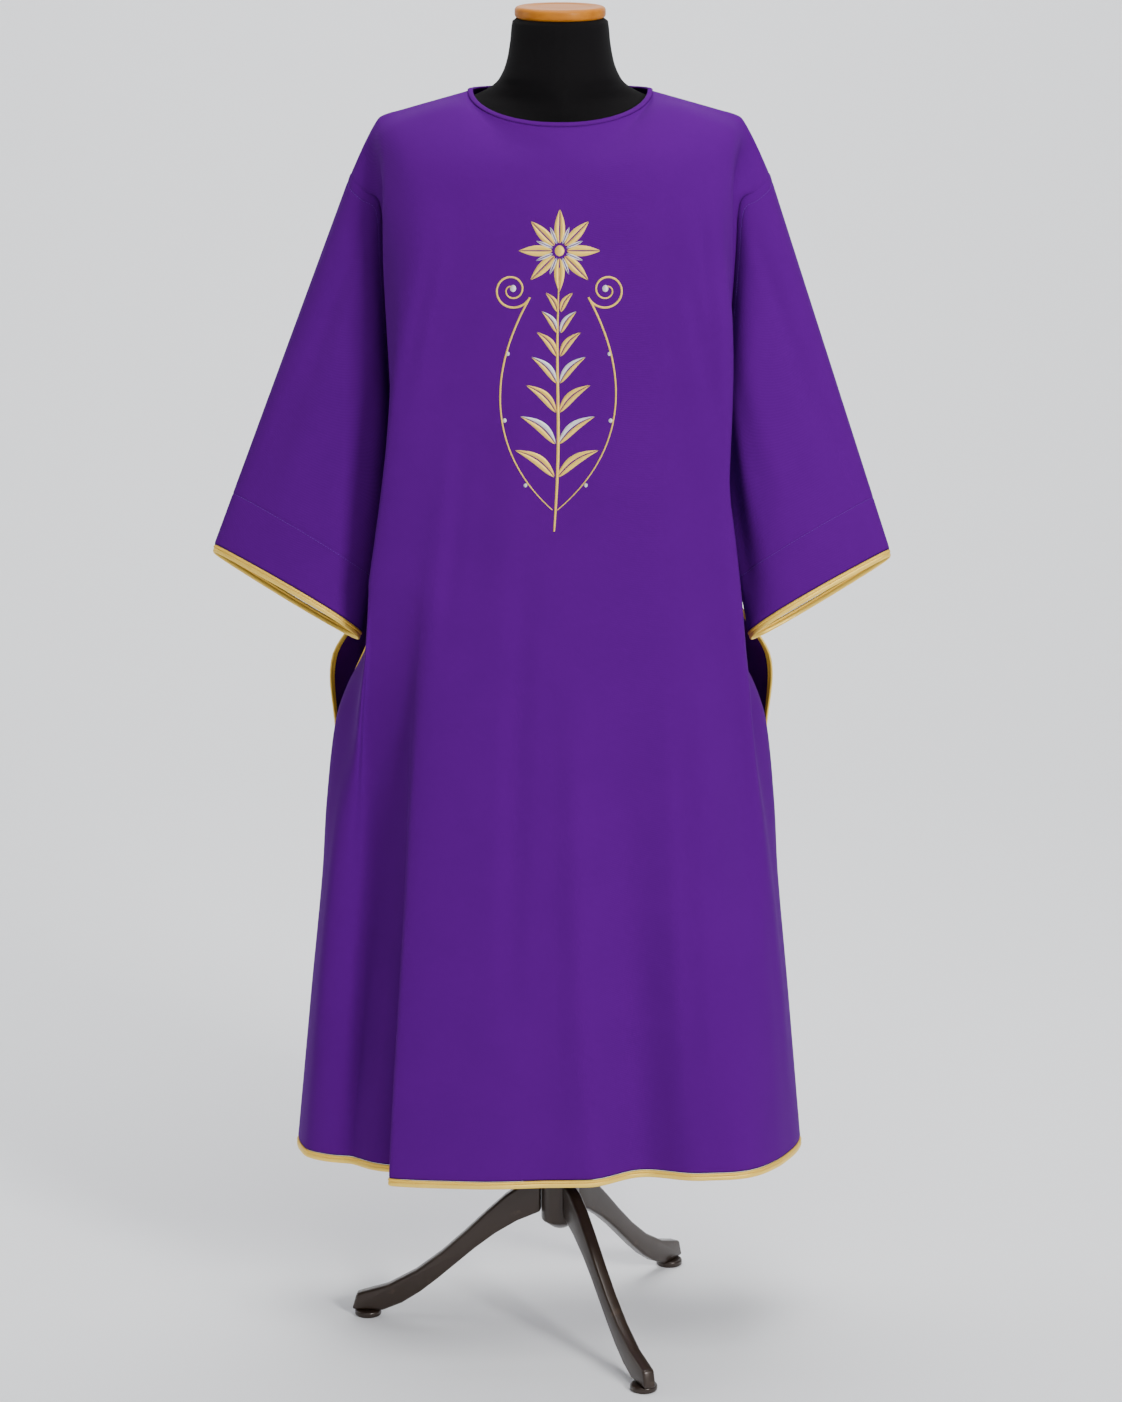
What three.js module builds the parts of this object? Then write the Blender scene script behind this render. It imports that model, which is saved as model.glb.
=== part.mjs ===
// A dalmatic, the wide-sleeved vestment of a deacon, put on a limbless dress form.
// Millimetres, +Z up. The wearer faces -Y, so the wearer's right side is -X.
// The garment is a front and a back panel that meet at the shoulders, two straight sleeves sewn to
// the dropped panel edges, a neck binding, and gold piping round the cuffs, hems and open sides.
// Each piece of cloth is a thin wall lofted through named sections; the form and its stand are solid.
import * as THREE from "three";

const { lerp, clamp, smoothstep } = THREE.MathUtils;

// Driving sizes
const CLOTH = 1.5; // thickness of the vestment cloth
const SEAM = 0.4; // clearance left between neighbouring pieces
const PIPING = { width: 10, thick: 4.6 }; // gold piping of the hems, open sides and cuffs
const BINDING = { width: 6.5, thick: 3.6 }; // narrow self binding of the neckline
const HEM_Z = 240; // lowest height of the garment above the floor
const CLOTH_END_Z = HEM_Z + PIPING.width + SEAM;
const UNDERARM_Z = 1150; // where the sleeve ends and the open side begins
const PIPED_Z = 1125; // the piping of the open sides starts a little lower
const NECK = { x: 111, z: 1572.5, slope: 0.28 }; // half width, height and shoulder slope at the neck points
const FRONT_NECK = { deep: 83, drop: 33.5, rise: 0.62 }; // reach, drop and steepness of the neckline
const BACK_NECK = { deep: 82, drop: 5, rise: 0.35 };

// Stations across a panel, as shares of the way from its middle line to its side edge
const NECK_AT = 0.4; // the neck point, on the top edge
const CREST_AT = 0.64; // the front corner of the body, where the cloth starts to turn back
const BEND_AT = 0.79; // the outer corner of that turn
const SIDE_AT = 0.91; // the middle of the side wall
const STATIONS = [0, 0.22, 0.44, CREST_AT, BEND_AT, SIDE_AT, 1];
const MIDDLE_BULGE = 2.4; // power of the curve from the middle line to the crest: flat first, then turning
const FRAME_STEP = 0.03; // half the width, in stations, over which directions on the cloth are measured

// A table with named columns: {name: [one value per row]}.
function table(names, rows) {
  return Object.fromEntries(names.map((name, i) => [name, rows.map((row) => row[i])]));
}

// Half sections of the panels at falling heights. Each is mirrored about the garment's middle.
const SECTION = ["z", "middleY", "crestX", "crestY", "bendX", "bendY", "sideX", "sideY", "edgeX", "edgeY"];
const FRONT = table(SECTION, [
  [1440, -122, 170, -106, 209, -74, 213, -46, 216, -24],
  [1380, -130, 173, -116, 208, -79, 211, -46, 212, -20],
  [1310, -134, 184, -120, 205, -86, 207, -46, 208, -18],
  [1200, -136, 197, -119, 200, -88, 200, -46, 201, -14],
  [UNDERARM_Z, -137, 202, -118, 199, -88, 198, -44, 200, -11.5],
  [1090, -137, 208, -116, 203, -84, 199, -44, 201, -13],
  [1000, -138, 219, -113, 212, -80, 207, -42, 209, -12],
  [905, -140, 230, -110, 223, -76, 221, -40, 223, -10],
  [850, -141, 237, -106, 235, -74, 249, -36, 245, -5],
  [800, -142, 242, -102, 244, -72, 265, -32, 258, 0],
  [700, -145, 248, -94, 262, -62, 277, -24, 268, 8],
  [600, -148, 252, -94, 274, -58, 284, -14, 275, 12],
  [450, -154, 259, -100, 289, -58, 299, -10, 289, 15],
  [CLOTH_END_Z, -164, 270, -106, 304, -54, 318, -6, 312, 20],
]);
const BACK = table(SECTION, [
  [1440, 112, 166, 98, 208, 72, 213, 48, 216, 26],
  [1380, 120, 171, 108, 207, 76, 211, 48, 212, 22],
  [1310, 123, 183, 112, 205, 82, 207, 48, 208, 20],
  [1200, 121, 196, 112, 200, 86, 200, 47, 201, 16],
  [UNDERARM_Z, 120, 202, 112, 200, 84, 199, 46, 200, 11.5],
  [1090, 119, 207, 112, 203, 82, 200, 46, 202, 15],
  [1000, 119, 218, 112, 212, 80, 207, 47, 211, 18],
  [930, 120, 226, 113, 224, 80, 226, 50, 234, 24],
  [870, 122, 234, 114, 236, 80, 252, 54, 267, 30],
  [790, 125, 243, 115, 250, 80, 264, 58, 268, 34],
  [700, 130, 252, 118, 266, 84, 270, 60, 262, 38],
  [600, 136, 260, 122, 279, 87, 280, 62, 268, 41],
  [450, 146, 272, 130, 295, 92, 296, 66, 284, 45],
  [CLOTH_END_Z, 162, 290, 148, 316, 102, 318, 78, 306, 53],
]);
// How far the middle of the hanging cloth sits to the wearer's left (+X) at each height.
const LEAN = table(["z", "x"], [[1474, 5], [1200, 2], [1000, -4], [800, -6.5], [HEM_Z, -9]]);

// The shoulder line from the neck point out to the sleeve seam, by station.
const SHOULDER = table(["at", "x", "z"], [
  [NECK_AT, NECK.x, NECK.z],
  [CREST_AT, 187, 1551],
  [BEND_AT, 216, 1541.5],
  [0.83, 224, 1531],
  [SIDE_AT, 237, 1506],
  [1, 252, 1473],
]);
// Two rows under the shoulder line, by station. The cloth rounds over the shoulder on the first,
// and on both a short valley runs from the end of the shoulder down into the sleeve seam.
const TOP_Z = 1570;
const SHOULDER_Z = 1538;
const YOKE_Z = 1494;
const POINTS = ["x", "y", "z"];
const FRONT_SHOULDER = table(POINTS, [
  [0, -93, 1522], [70, -79, 1527], [121, -50, 1553], [185, -42, 1537],
  [215, -30, 1521], [232, -12, 1498], [248, -12, 1465],
]);
const BACK_SHOULDER = table(POINTS, [
  [0, 93, 1550], [68, 80, 1552], [120, 50, 1551], [184, 42, 1533],
  [214, 30, 1522], [232, 14, 1498], [248, 12, 1465],
]);
const FRONT_YOKE = table(POINTS, [
  [0, -106, 1493], [61, -105, 1494], [123, -96, 1500], [180, -78, 1498],
  [211, -52, 1490], [224, -28, 1476], [234, -22, 1454],
]);
const BACK_YOKE = table(POINTS, [
  [0, 104, 1500], [61, 101, 1500], [123, 88, 1500], [178, 70, 1498],
  [210, 50, 1492], [224, 28, 1476], [234, 22, 1454],
]);

// Folds of the panels. depth is outwards at the foot of the fold and negative for a trough, at is
// the station of its middle at its head and foot, and half is its half width.
const FOLD = ["headAt", "footAt", "headZ", "footZ", "depth", "half"];
const FRONT_FOLDS = table(FOLD, [
  [0.22, 0.285, 1000, HEM_Z, -30, 76],
  [0.5, 0.62, 1180, 640, -9, 42],
  [0.52, 0.56, 620, HEM_Z, 9, 60],
  [-0.18, -0.2, 1150, HEM_Z, 8, 95],
  [-0.27, -0.3, 1330, 1000, -4, 50],
]);
const BACK_FOLDS = table(FOLD, [
  [-0.36, -0.4, 1250, HEM_Z, -26, 62],
  [0.02, -0.03, 1180, HEM_Z, -20, 58],
  [0.4, 0.45, 1280, HEM_Z, -28, 66],
  [0.2, 0.21, 1100, HEM_Z, 12, 50],
  [-0.19, -0.22, 1100, HEM_Z, 10, 48],
]);
const FOLD_TAIL = 120; // a fold that stops above the hem fades out over this height
// The long pleat on the wearer's right of the front. Its crest stands forward by rise and hangs
// over a valley of its own depth; its edge is wide at its head and sharp at its foot.
const PLEAT = {
  at: -0.448, headZ: 1260, rise: 20, valley: 30, reach: 84, over: 11, overReach: 24, headEdge: 34, footEdge: 5,
};

// Sleeves: the ridge runs from the shoulder seam to the outer corner of the cuff, its first row,
// and its cuff slants down to the inner corner. The wearer's left sleeve hangs a little lower.
// ridgeFull is the share of the swell beside the ridge, where the sleeve lies flatter.
// crowding sets how much closer the rows lie near the armhole, and lastShare is how far round the
// section the last armhole points stand, short of the underarm.
const CUFF = table(["x", "lean", "y", "z", "leftLower"], [
  [413, -5, -20, 1021, 6],
  [236, -1.5, -36, 915, 0],
]);
const SLEEVE = { front: 46, back: 50, shear: 0.4, tuck: 6, rows: 12, crowding: 1.35, lastShare: 0.96, ridgeFull: 0.5 };
// How full the sleeve stands between the armhole and the cuff: it swells quickly from the armhole.
const FULLNESS = table(["t", "share"], [[0, 0], [0.08, 0.6], [0.2, 0.9], [0.5, 1], [1, 1]]);

// The dress form, by falling height. power shapes each section: 2 is an ellipse, less is pinched.
const FORM_X = 5; // the form stands this far to the wearer's left of the garment's origin
const FORM = table(["z", "halfX", "halfY", "power"], [
  [1658, 53, 53, 2],
  [1655, 57, 57, 2],
  [1630, 60, 60, 2],
  [1608, 64, 64, 2],
  [1592, 70, 67, 1.9],
  [1580, 79, 68, 1.55],
  [1567, 103, 69, 1.2],
  [1556, 142, 70, 1.15],
  [1545, 180, 72, 1.3],
  [1534, 202, 76, 1.6],
  [1515, 208, 82, 1.9],
  [1480, 204, 90, 2.1],
  [1430, 192, 99, 2.3],
  [1360, 181, 106, 2.3],
  [1270, 173, 108, 2.3],
  [1150, 158, 100, 2.2],
  [1060, 143, 92, 2.1],
  [980, 146, 94, 2.1],
  [880, 158, 102, 2.1],
  [800, 154, 98, 2.1],
  [786, 146, 92, 2.1],
  [780, 132, 82, 2.1],
]);
const FORM_SIDES = 32;
const CAP = { radius: 54.5, thick: 14, round: 5 };
const FLANGE = { radius: 46, thick: 9 };
const POLE_RADIUS = 12;
const HUB = { radius: 24, low: 140, high: 205, tip: 10, taper: 14, chamfer: 8, collar: 4 };
const LEG = {
  reach: 262, thick: 16, angles: [-65.5, 54.5, 174.5],
  rootLow: 150, rootHigh: 194, toeHigh: 30, toeOut: 6, toeIn: 34,
  upperBend: [[80, 192], [150, 50]], lowerBend: [[160, 30], [110, 120]],
};
const FOOT = { radius: 17, thick: 8, at: 248 };

// Smooth value at `at` of a curve through (knots, values), knots rising.
function through(knots, values, at) {
  const last = knots.length - 1;
  let i = 0;
  while (i < last - 1 && at > knots[i + 1]) i++;
  const slope = (j) => {
    const before = Math.max(j - 1, 0);
    const after = Math.min(j + 1, last);
    return (values[after] - values[before]) / (knots[after] - knots[before]);
  };
  const span = knots[i + 1] - knots[i];
  const t = clamp((at - knots[i]) / span, 0, 1);
  const blend = t * t * (3 - 2 * t);
  const leave = span * slope(i) * t * (1 - t) * (1 - t);
  const arrive = span * slope(i + 1) * t * t * (1 - t);
  return lerp(values[i], values[i + 1], blend) + leave - arrive;
}

// The same for a curve of points.
function pointThrough(knots, points, at) {
  const along = (axis) => through(knots, points.map((p) => p[axis]), at);
  return new THREE.Vector3(along("x"), along("y"), along("z"));
}

// The same for a table read from its top row down, by height.
function atHeight(levels, name, z) {
  return through(levels.z.map((height) => -height), levels[name], -z);
}

function steps(from, to, count) {
  return Array.from({ length: count + 1 }, (_, i) => lerp(from, to, i / count));
}

// A half row of station points made into a whole row: at u from -1 to 1, leaning as the cloth does.
function acrossRow(half, u) {
  const mirrored = new THREE.Vector3(-half[1].x, half[1].y, half[1].z);
  const p = pointThrough([-STATIONS[1], ...STATIONS], [mirrored, ...half], Math.abs(u));
  p.x = p.x * Math.sign(u) + atHeight(LEAN, "x", p.z);
  return p;
}

// Station points of one level of a panel. Its flat middle bulges a little towards its centre.
function levelRow(levels, row) {
  const middle = STATIONS.slice(0, 3).map((station) => {
    const share = station / CREST_AT;
    const y = lerp(levels.middleY[row], levels.crestY[row], share ** MIDDLE_BULGE);
    return new THREE.Vector3(levels.crestX[row] * share, y, levels.z[row]);
  });
  const outer = ["crest", "bend", "side", "edge"].map(
    (name) => new THREE.Vector3(levels[name + "X"][row], levels[name + "Y"][row], levels.z[row]),
  );
  return [...middle, ...outer];
}

function pointRow(points) {
  return points.x.map((x, i) => new THREE.Vector3(x, points.y[i], points.z[i]));
}

// A point of a neckline at share -1 to 1 of its half turn; inset moves it up the form's neck.
function neckPoint(share, side, neck, inset = 0) {
  const turn = (Math.PI / 2) * share;
  const forward = Math.cos(turn);
  const sideways = Math.abs(Math.sin(turn));
  const reach = NECK.x - inset * Math.sqrt(1 - NECK.slope ** 2);
  const deep = neck.deep - inset * Math.sqrt(1 - neck.rise ** 2);
  const z = NECK.z - neck.drop * forward + inset * lerp(neck.rise, NECK.slope, sideways);
  return new THREE.Vector3(reach * Math.sin(turn) + LEAN.x[0], side * (SEAM / 2 + deep * forward), z);
}

// The top edge of a panel: its neckline, then the shoulder line. side is -1 at the front, 1 at the back.
function topEdge(u, side, neck) {
  const at = Math.abs(u);
  if (at <= NECK_AT) return neckPoint(u / NECK_AT, side, neck);
  const x = through(SHOULDER.at, SHOULDER.x, at) * Math.sign(u) + LEAN.x[0];
  return new THREE.Vector3(x, (side * SEAM) / 2, through(SHOULDER.at, SHOULDER.z, at));
}

// One panel before its folds: a function of u across it and z, its nominal height.
function makePanel(side, levels, shoulder, yoke, neck) {
  const knots = [-TOP_Z, -SHOULDER_Z, -YOKE_Z, ...levels.z.map((z) => -z)];
  const rows = [pointRow(shoulder), pointRow(yoke), ...levels.z.map((_, i) => levelRow(levels, i))];
  return (u, z) => {
    const column = [topEdge(u, side, neck), ...rows.map((row) => acrossRow(row, u))];
    return pointThrough(knots, column, -z);
  };
}

const frontBase = makePanel(-1, FRONT, FRONT_SHOULDER, FRONT_YOKE, FRONT_NECK);
const backBase = makePanel(1, BACK, BACK_SHOULDER, BACK_YOKE, BACK_NECK);

// Level directions across the cloth and out of it, and millimetres per unit of u, at a point.
function frameAt(base, side, u, z) {
  const right = Math.min(u + FRAME_STEP, 1);
  const left = Math.max(u - FRAME_STEP, -1);
  const across = base(right, z).sub(base(left, z));
  across.z = 0;
  const width = across.length() / (right - left);
  across.normalize();
  return { across, out: new THREE.Vector3(across.y, -across.x, 0).multiplyScalar(-side), width };
}

// How far the folds move the cloth outwards at a point.
function foldDepth(folds, base, side, u, z) {
  let depth = 0;
  folds.headAt.forEach((headAt, i) => {
    const down = clamp((folds.headZ[i] - z) / (folds.headZ[i] - folds.footZ[i]), 0, 1);
    const at = lerp(headAt, folds.footAt[i], down);
    const away = Math.abs(u - at) * frameAt(base, side, at, z).width;
    const bump = away < folds.half[i] ? Math.cos((Math.PI / 2) * (away / folds.half[i])) ** 2 : 0;
    const tail = 1 - clamp((folds.footZ[i] - z) / FOLD_TAIL, 0, 1);
    depth += folds.depth[i] * bump * smoothstep(down, 0, 1) * tail;
  });
  return depth;
}

// How far the pleat moves the front outwards and sideways at a point.
function pleatShift(u, z) {
  const down = smoothstep((PLEAT.headZ - z) / (PLEAT.headZ - HEM_Z), 0, 1);
  const away = (u - PLEAT.at) * frameAt(frontBase, -1, PLEAT.at, z).width;
  const step = Math.tanh(away / lerp(PLEAT.headEdge, PLEAT.footEdge, Math.sqrt(down)));
  const fade = Math.exp(-((away / PLEAT.reach) ** 2)) * down;
  const near = Math.exp(-((away / PLEAT.overReach) ** 2)) * down;
  return { out: (step > 0 ? PLEAT.rise : PLEAT.valley) * step * fade, sideways: -PLEAT.over * step * near };
}

function frontPoint(u, z) {
  const { across, out } = frameAt(frontBase, -1, u, z);
  const pleat = pleatShift(u, z);
  const depth = foldDepth(FRONT_FOLDS, frontBase, -1, u, z) + pleat.out;
  return frontBase(u, z).addScaledVector(out, depth).addScaledVector(across, pleat.sideways);
}

function backPoint(u, z) {
  const { out } = frameAt(backBase, 1, u, z);
  return backBase(u, z).addScaledVector(out, foldDepth(BACK_FOLDS, backBase, 1, u, z));
}

// A surface is a grid of points with their unit normals, which point out of the garment.
// A wrapped grid closes across its columns.
function makeSurface(grid, { wrap = false, flip = false } = {}) {
  const lastRow = grid.length - 1;
  const columns = grid[0].length;
  const normals = grid.map((row, i) =>
    row.map((_, j) => {
      const left = wrap ? (j - 1 + columns) % columns : Math.max(j - 1, 0);
      const right = wrap ? (j + 1) % columns : Math.min(j + 1, columns - 1);
      const across = row[right].clone().sub(row[left]);
      const down = grid[Math.min(i + 1, lastRow)][j].clone().sub(grid[Math.max(i - 1, 0)][j]);
      return across.cross(down).normalize().multiplyScalar(flip ? 1 : -1);
    }),
  );
  return { grid, normals, wrap };
}

// The closed wall of a surface: the grid is its outer face, the inner one lies CLOTH behind it.
function wall({ grid, normals, wrap }) {
  const rows = grid.length;
  const columns = grid[0].length;
  const positions = [];
  for (const inner of [0, CLOTH]) {
    grid.forEach((row, i) => row.forEach((p, j) => {
      positions.push(...p.clone().addScaledVector(normals[i][j], -inner).toArray());
    }));
  }
  const index = [];
  const quad = (a, b, c, d) => index.push(a, b, c, a, c, d);
  const outer = (i, j) => i * columns + (j % columns);
  const inner = (i, j) => rows * columns + outer(i, j);
  const cells = wrap ? columns : columns - 1;
  for (let i = 0; i < rows - 1; i++) {
    for (let j = 0; j < cells; j++) {
      quad(outer(i, j), outer(i + 1, j), outer(i + 1, j + 1), outer(i, j + 1));
      quad(inner(i, j), inner(i, j + 1), inner(i + 1, j + 1), inner(i + 1, j));
    }
    if (!wrap) {
      quad(outer(i, 0), inner(i, 0), inner(i + 1, 0), outer(i + 1, 0));
      quad(outer(i, cells), outer(i + 1, cells), inner(i + 1, cells), inner(i, cells));
    }
  }
  for (let j = 0; j < cells; j++) {
    quad(outer(0, j), outer(0, j + 1), inner(0, j + 1), inner(0, j));
    quad(outer(rows - 1, j), inner(rows - 1, j), inner(rows - 1, j + 1), outer(rows - 1, j + 1));
  }
  return facingOut(positions, index);
}

// A band of oval section along places {at, wide, thick}, whose wide and thick are unit directions.
function band(places, { width, thick }, closed = false) {
  const sides = 6;
  const positions = places.flatMap((place) =>
    steps(0, 2 * Math.PI, sides).slice(0, -1).flatMap((turn) => {
      const p = place.at.clone().addScaledVector(place.wide, (width / 2) * Math.cos(turn));
      return p.addScaledVector(place.thick, (thick / 2) * Math.sin(turn)).toArray();
    }),
  );
  const index = [];
  const vertex = (i, k) => (i % places.length) * sides + (k % sides);
  const lengths = closed ? places.length : places.length - 1;
  for (let i = 0; i < lengths; i++) {
    for (let k = 0; k < sides; k++) {
      index.push(vertex(i, k), vertex(i + 1, k), vertex(i + 1, k + 1));
      index.push(vertex(i, k), vertex(i + 1, k + 1), vertex(i, k + 1));
    }
  }
  if (!closed) {
    for (let k = 1; k < sides - 1; k++) {
      index.push(vertex(0, 0), vertex(0, k), vertex(0, k + 1));
      index.push(vertex(lengths, 0), vertex(lengths, k + 1), vertex(lengths, k));
    }
  }
  return facingOut(positions, index);
}

// A solid through closed rings of points, capped flat at both ends.
function loft(rings) {
  const sides = rings[0].length;
  const positions = rings.flat().flatMap((p) => p.toArray());
  const index = [];
  const vertex = (i, k) => i * sides + (k % sides);
  for (let i = 0; i < rings.length - 1; i++) {
    for (let k = 0; k < sides; k++) {
      index.push(vertex(i, k), vertex(i + 1, k), vertex(i + 1, k + 1));
      index.push(vertex(i, k), vertex(i + 1, k + 1), vertex(i, k + 1));
    }
  }
  for (let k = 1; k < sides - 1; k++) {
    index.push(vertex(0, 0), vertex(0, k), vertex(0, k + 1));
    index.push(vertex(rings.length - 1, 0), vertex(rings.length - 1, k + 1), vertex(rings.length - 1, k));
  }
  return facingOut(positions, index);
}

// Makes an indexed geometry, with its faces turned round if they enclose a negative volume.
function facingOut(positions, index) {
  const corner = (i) => new THREE.Vector3().fromArray(positions, 3 * index[i]);
  let volume = 0;
  for (let i = 0; i < index.length; i += 3) {
    volume += corner(i).dot(corner(i + 1).cross(corner(i + 2)));
  }
  const turned = volume < 0 ? index.map((_, i) => index[i - (i % 3) + [0, 2, 1][i % 3]]) : index;
  const geometry = new THREE.BufferGeometry();
  geometry.setAttribute("position", new THREE.Float32BufferAttribute(positions, 3));
  geometry.setIndex(turned);
  geometry.computeVertexNormals();
  return geometry;
}

// Columns of a panel: more across its neckline, with a column on each neck point.
function panelColumns(acrossNeck, toSide) {
  const half = [...steps(0, NECK_AT, acrossNeck), ...steps(NECK_AT, 1, toSide).slice(1)];
  return [...half.slice(1).reverse().map((u) => -u), ...half];
}

const ARM_ROWS = [...steps(TOP_Z, 1440, 7), ...steps(1395, UNDERARM_Z, 5)];
const SKIRT_ROWS = [PIPED_Z, ...steps(1065, CLOTH_END_Z, 13)];
const ROWS = [...ARM_ROWS, ...SKIRT_ROWS];
const PLEAT_COLUMNS = [-0.05, -0.03, -0.015, -0.005, 0.005, 0.015, 0.03, 0.05].map((u) => PLEAT.at + u);
const FRONT_COLUMNS = [
  ...panelColumns(7, 10).filter((u) => Math.abs(u - PLEAT.at) > 0.06),
  ...PLEAT_COLUMNS,
].sort((a, b) => a - b);
const BACK_COLUMNS = panelColumns(5, 8);

function panelSurface(columns, point, flip) {
  const surface = makeSurface(ROWS.map((z) => columns.map((u) => point(u, z))), { flip });
  // At the shoulder line the cut ends are upright, so that the two panels stay a seam apart.
  columns.forEach((u, j) => {
    if (Math.abs(u) >= NECK_AT) surface.normals[0][j].setY(0).normalize();
  });
  return surface;
}

const front = panelSurface(FRONT_COLUMNS, frontPoint, false);
const back = panelSurface(BACK_COLUMNS, backPoint, true);

// The direction along the cloth from a point of a surface away from its neighbour on the inside.
function awayFrom(surface, [i, j], [insideRow, insideColumn]) {
  const normal = surface.normals[i][j];
  const away = surface.grid[i][j].clone().sub(surface.grid[insideRow][insideColumn]);
  return away.addScaledVector(normal, -away.dot(normal)).normalize();
}

// The sleeve end of a panel edge, from the shoulder line to the underarm, a seam off the panel.
function armholeSide(surface, hand) {
  const edge = hand < 0 ? 0 : surface.grid[0].length - 1;
  return ARM_ROWS.map((_, i) => {
    const away = awayFrom(surface, [i, edge], [i, edge - hand]);
    return surface.grid[i][edge].clone().addScaledVector(surface.normals[i][edge], SEAM).addScaledVector(away, SEAM);
  });
}

// A sleeve's rings from armhole to cuff. Each starts on the ridge and runs down the front, then up
// the back. side is -1 on the front, 1 on the back and 0 on the ridge and under the arm.
function sleeveSurface(hand) {
  const fore = armholeSide(front, hand);
  const hind = armholeSide(back, hand);
  const last = ARM_ROWS.length - 1;
  const length = (i) => fore.slice(1, i + 1).reduce((sum, p, k) => sum + p.distanceTo(fore[k]), 0);
  const shares = fore.map((_, i) => length(i) / length(last));
  const ridge = fore[0].clone().lerp(hind[0], 0.5);
  const under = fore[last].clone().lerp(hind[last], 0.5);
  under.z -= SEAM;
  const start = [
    { from: ridge, share: 0, side: 0 },
    ...fore.slice(1).map((from, i) => ({ from, share: shares[i + 1] * SLEEVE.lastShare, side: -1 })),
    { from: under, share: 1, side: 0 },
    ...hind.slice(1).map((from, i) => ({ from, share: shares[i + 1] * SLEEVE.lastShare, side: 1 })).reverse(),
  ];
  const grid = steps(0, 1, SLEEVE.rows).map((step) => {
    const t = step ** SLEEVE.crowding;
    const full = through(FULLNESS.t, FULLNESS.share, t);
    return start.map(({ from, share, side }) => {
      const w = (1 - Math.cos(Math.PI * share)) / 2;
      const atCuff = (name) => lerp(...CUFF[name], w);
      const lower = hand > 0 ? atCuff("leftLower") : 0;
      const end = new THREE.Vector3(hand * atCuff("x") + atCuff("lean"), atCuff("y"), atCuff("z") - lower);
      const swell = SLEEVE.ridgeFull + (1 - SLEEVE.ridgeFull) * w;
      const out = side * full * Math.sin(Math.PI * share) * swell * (side < 0 ? SLEEVE.front : SLEEVE.back);
      const tuck = -hand * SLEEVE.tuck * w * Math.sin(Math.PI * t) ** 2;
      return from.clone().lerp(end, t).add(new THREE.Vector3(tuck, out, -out * SLEEVE.shear * t));
    });
  });
  return makeSurface(grid, { wrap: true, flip: hand > 0 });
}

// One place of the piping: beyond a point of a surface's edge, in the middle of its thickness.
function pipedPlace(surface, i, j, away) {
  const thick = surface.normals[i][j];
  const at = surface.grid[i][j].clone().addScaledVector(thick, -CLOTH / 2);
  return { at: at.addScaledVector(away, SEAM + PIPING.width / 2), wide: away, thick };
}

// Piping of a panel: down one open side, round the corner, along the hem, and up the other side.
function panelPiping(surface) {
  const last = ROWS.length - 1;
  const lastColumn = surface.grid[0].length - 1;
  const beside = (i, j) => pipedPlace(surface, i, j, awayFrom(surface, [i, j], [i, j === 0 ? 1 : j - 1]));
  const below = (j) => pipedPlace(surface, last, j, awayFrom(surface, [last, j], [last - 1, j]));
  const corner = (j) => {
    const sum = beside(last, j).wide.clone().add(below(j).wide).normalize();
    return pipedPlace(surface, last, j, sum);
  };
  const pipedRows = ROWS.map((_, i) => i).filter((i) => ROWS[i] <= PIPED_Z);
  return band([
    ...pipedRows.map((i) => beside(i, 0)),
    corner(0),
    ...surface.grid[last].map((_, j) => below(j)),
    corner(lastColumn),
    ...pipedRows.reverse().map((i) => beside(i, lastColumn)),
  ], PIPING);
}

function cuffPiping(surface) {
  const last = surface.grid.length - 1;
  const places = surface.grid[last].map((_, j) =>
    pipedPlace(surface, last, j, awayFrom(surface, [last, j], [last - 1, j])));
  return band(places, PIPING, true);
}

// The neck binding: along the front neckline, then back along the rear one.
function neckBinding() {
  const inset = 1.5 * SEAM + BINDING.width / 2;
  const place = (u, side, neck) => {
    const share = u / NECK_AT;
    const at = neckPoint(share, side, neck, inset);
    const wide = neckPoint(share, side, neck, inset + 1).sub(at).normalize();
    const along = neckPoint(share + 0.01, side, neck, inset).sub(at).normalize();
    return { at, wide, thick: wide.clone().cross(along).multiplyScalar(-side).normalize() };
  };
  const within = (columns) => columns.filter((u) => Math.abs(u) <= NECK_AT);
  const rear = within(BACK_COLUMNS).slice(1, -1).reverse();
  return band([
    ...within(FRONT_COLUMNS).map((u) => place(u, -1, FRONT_NECK)),
    ...rear.map((u) => place(u, 1, BACK_NECK)),
  ], BINDING, true);
}

// One level ring of the form, a rounded section whose power pinches it towards its axes.
function formRing(z, halfX, halfY, power) {
  return steps(0, 2 * Math.PI, FORM_SIDES).slice(0, -1).map((turn) => {
    const c = Math.cos(turn);
    const s = Math.sin(turn);
    const x = halfX * Math.sign(c) * Math.abs(c) ** (2 / power);
    const y = halfY * Math.sign(s) * Math.abs(s) ** (2 / power);
    return new THREE.Vector3(FORM_X + x, y, z);
  });
}

function formTorso() {
  return loft(FORM.z.map((z, i) => formRing(z, FORM.halfX[i], FORM.halfY[i], FORM.power[i])));
}

// A turned piece from a profile of [radius, z] points that starts and ends on its axis.
function turned(profile, segments = 32) {
  const geometry = new THREE.LatheGeometry(profile.map(([r, z]) => new THREE.Vector2(r, z)), segments);
  return geometry.rotateX(Math.PI / 2);
}

function neckCap() {
  const low = FORM.z[0] + SEAM;
  const high = low + CAP.thick;
  const edge = CAP.radius - CAP.round;
  const rounded = steps(0, 180, 6).map((angle) => {
    const turn = THREE.MathUtils.degToRad(angle - 90);
    const middle = angle < 90 ? low + CAP.round : high - CAP.round;
    return [edge + CAP.round * Math.cos(turn), middle + CAP.round * Math.sin(turn)];
  });
  return turned([[0, low], ...rounded, [0, high]]);
}

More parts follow.
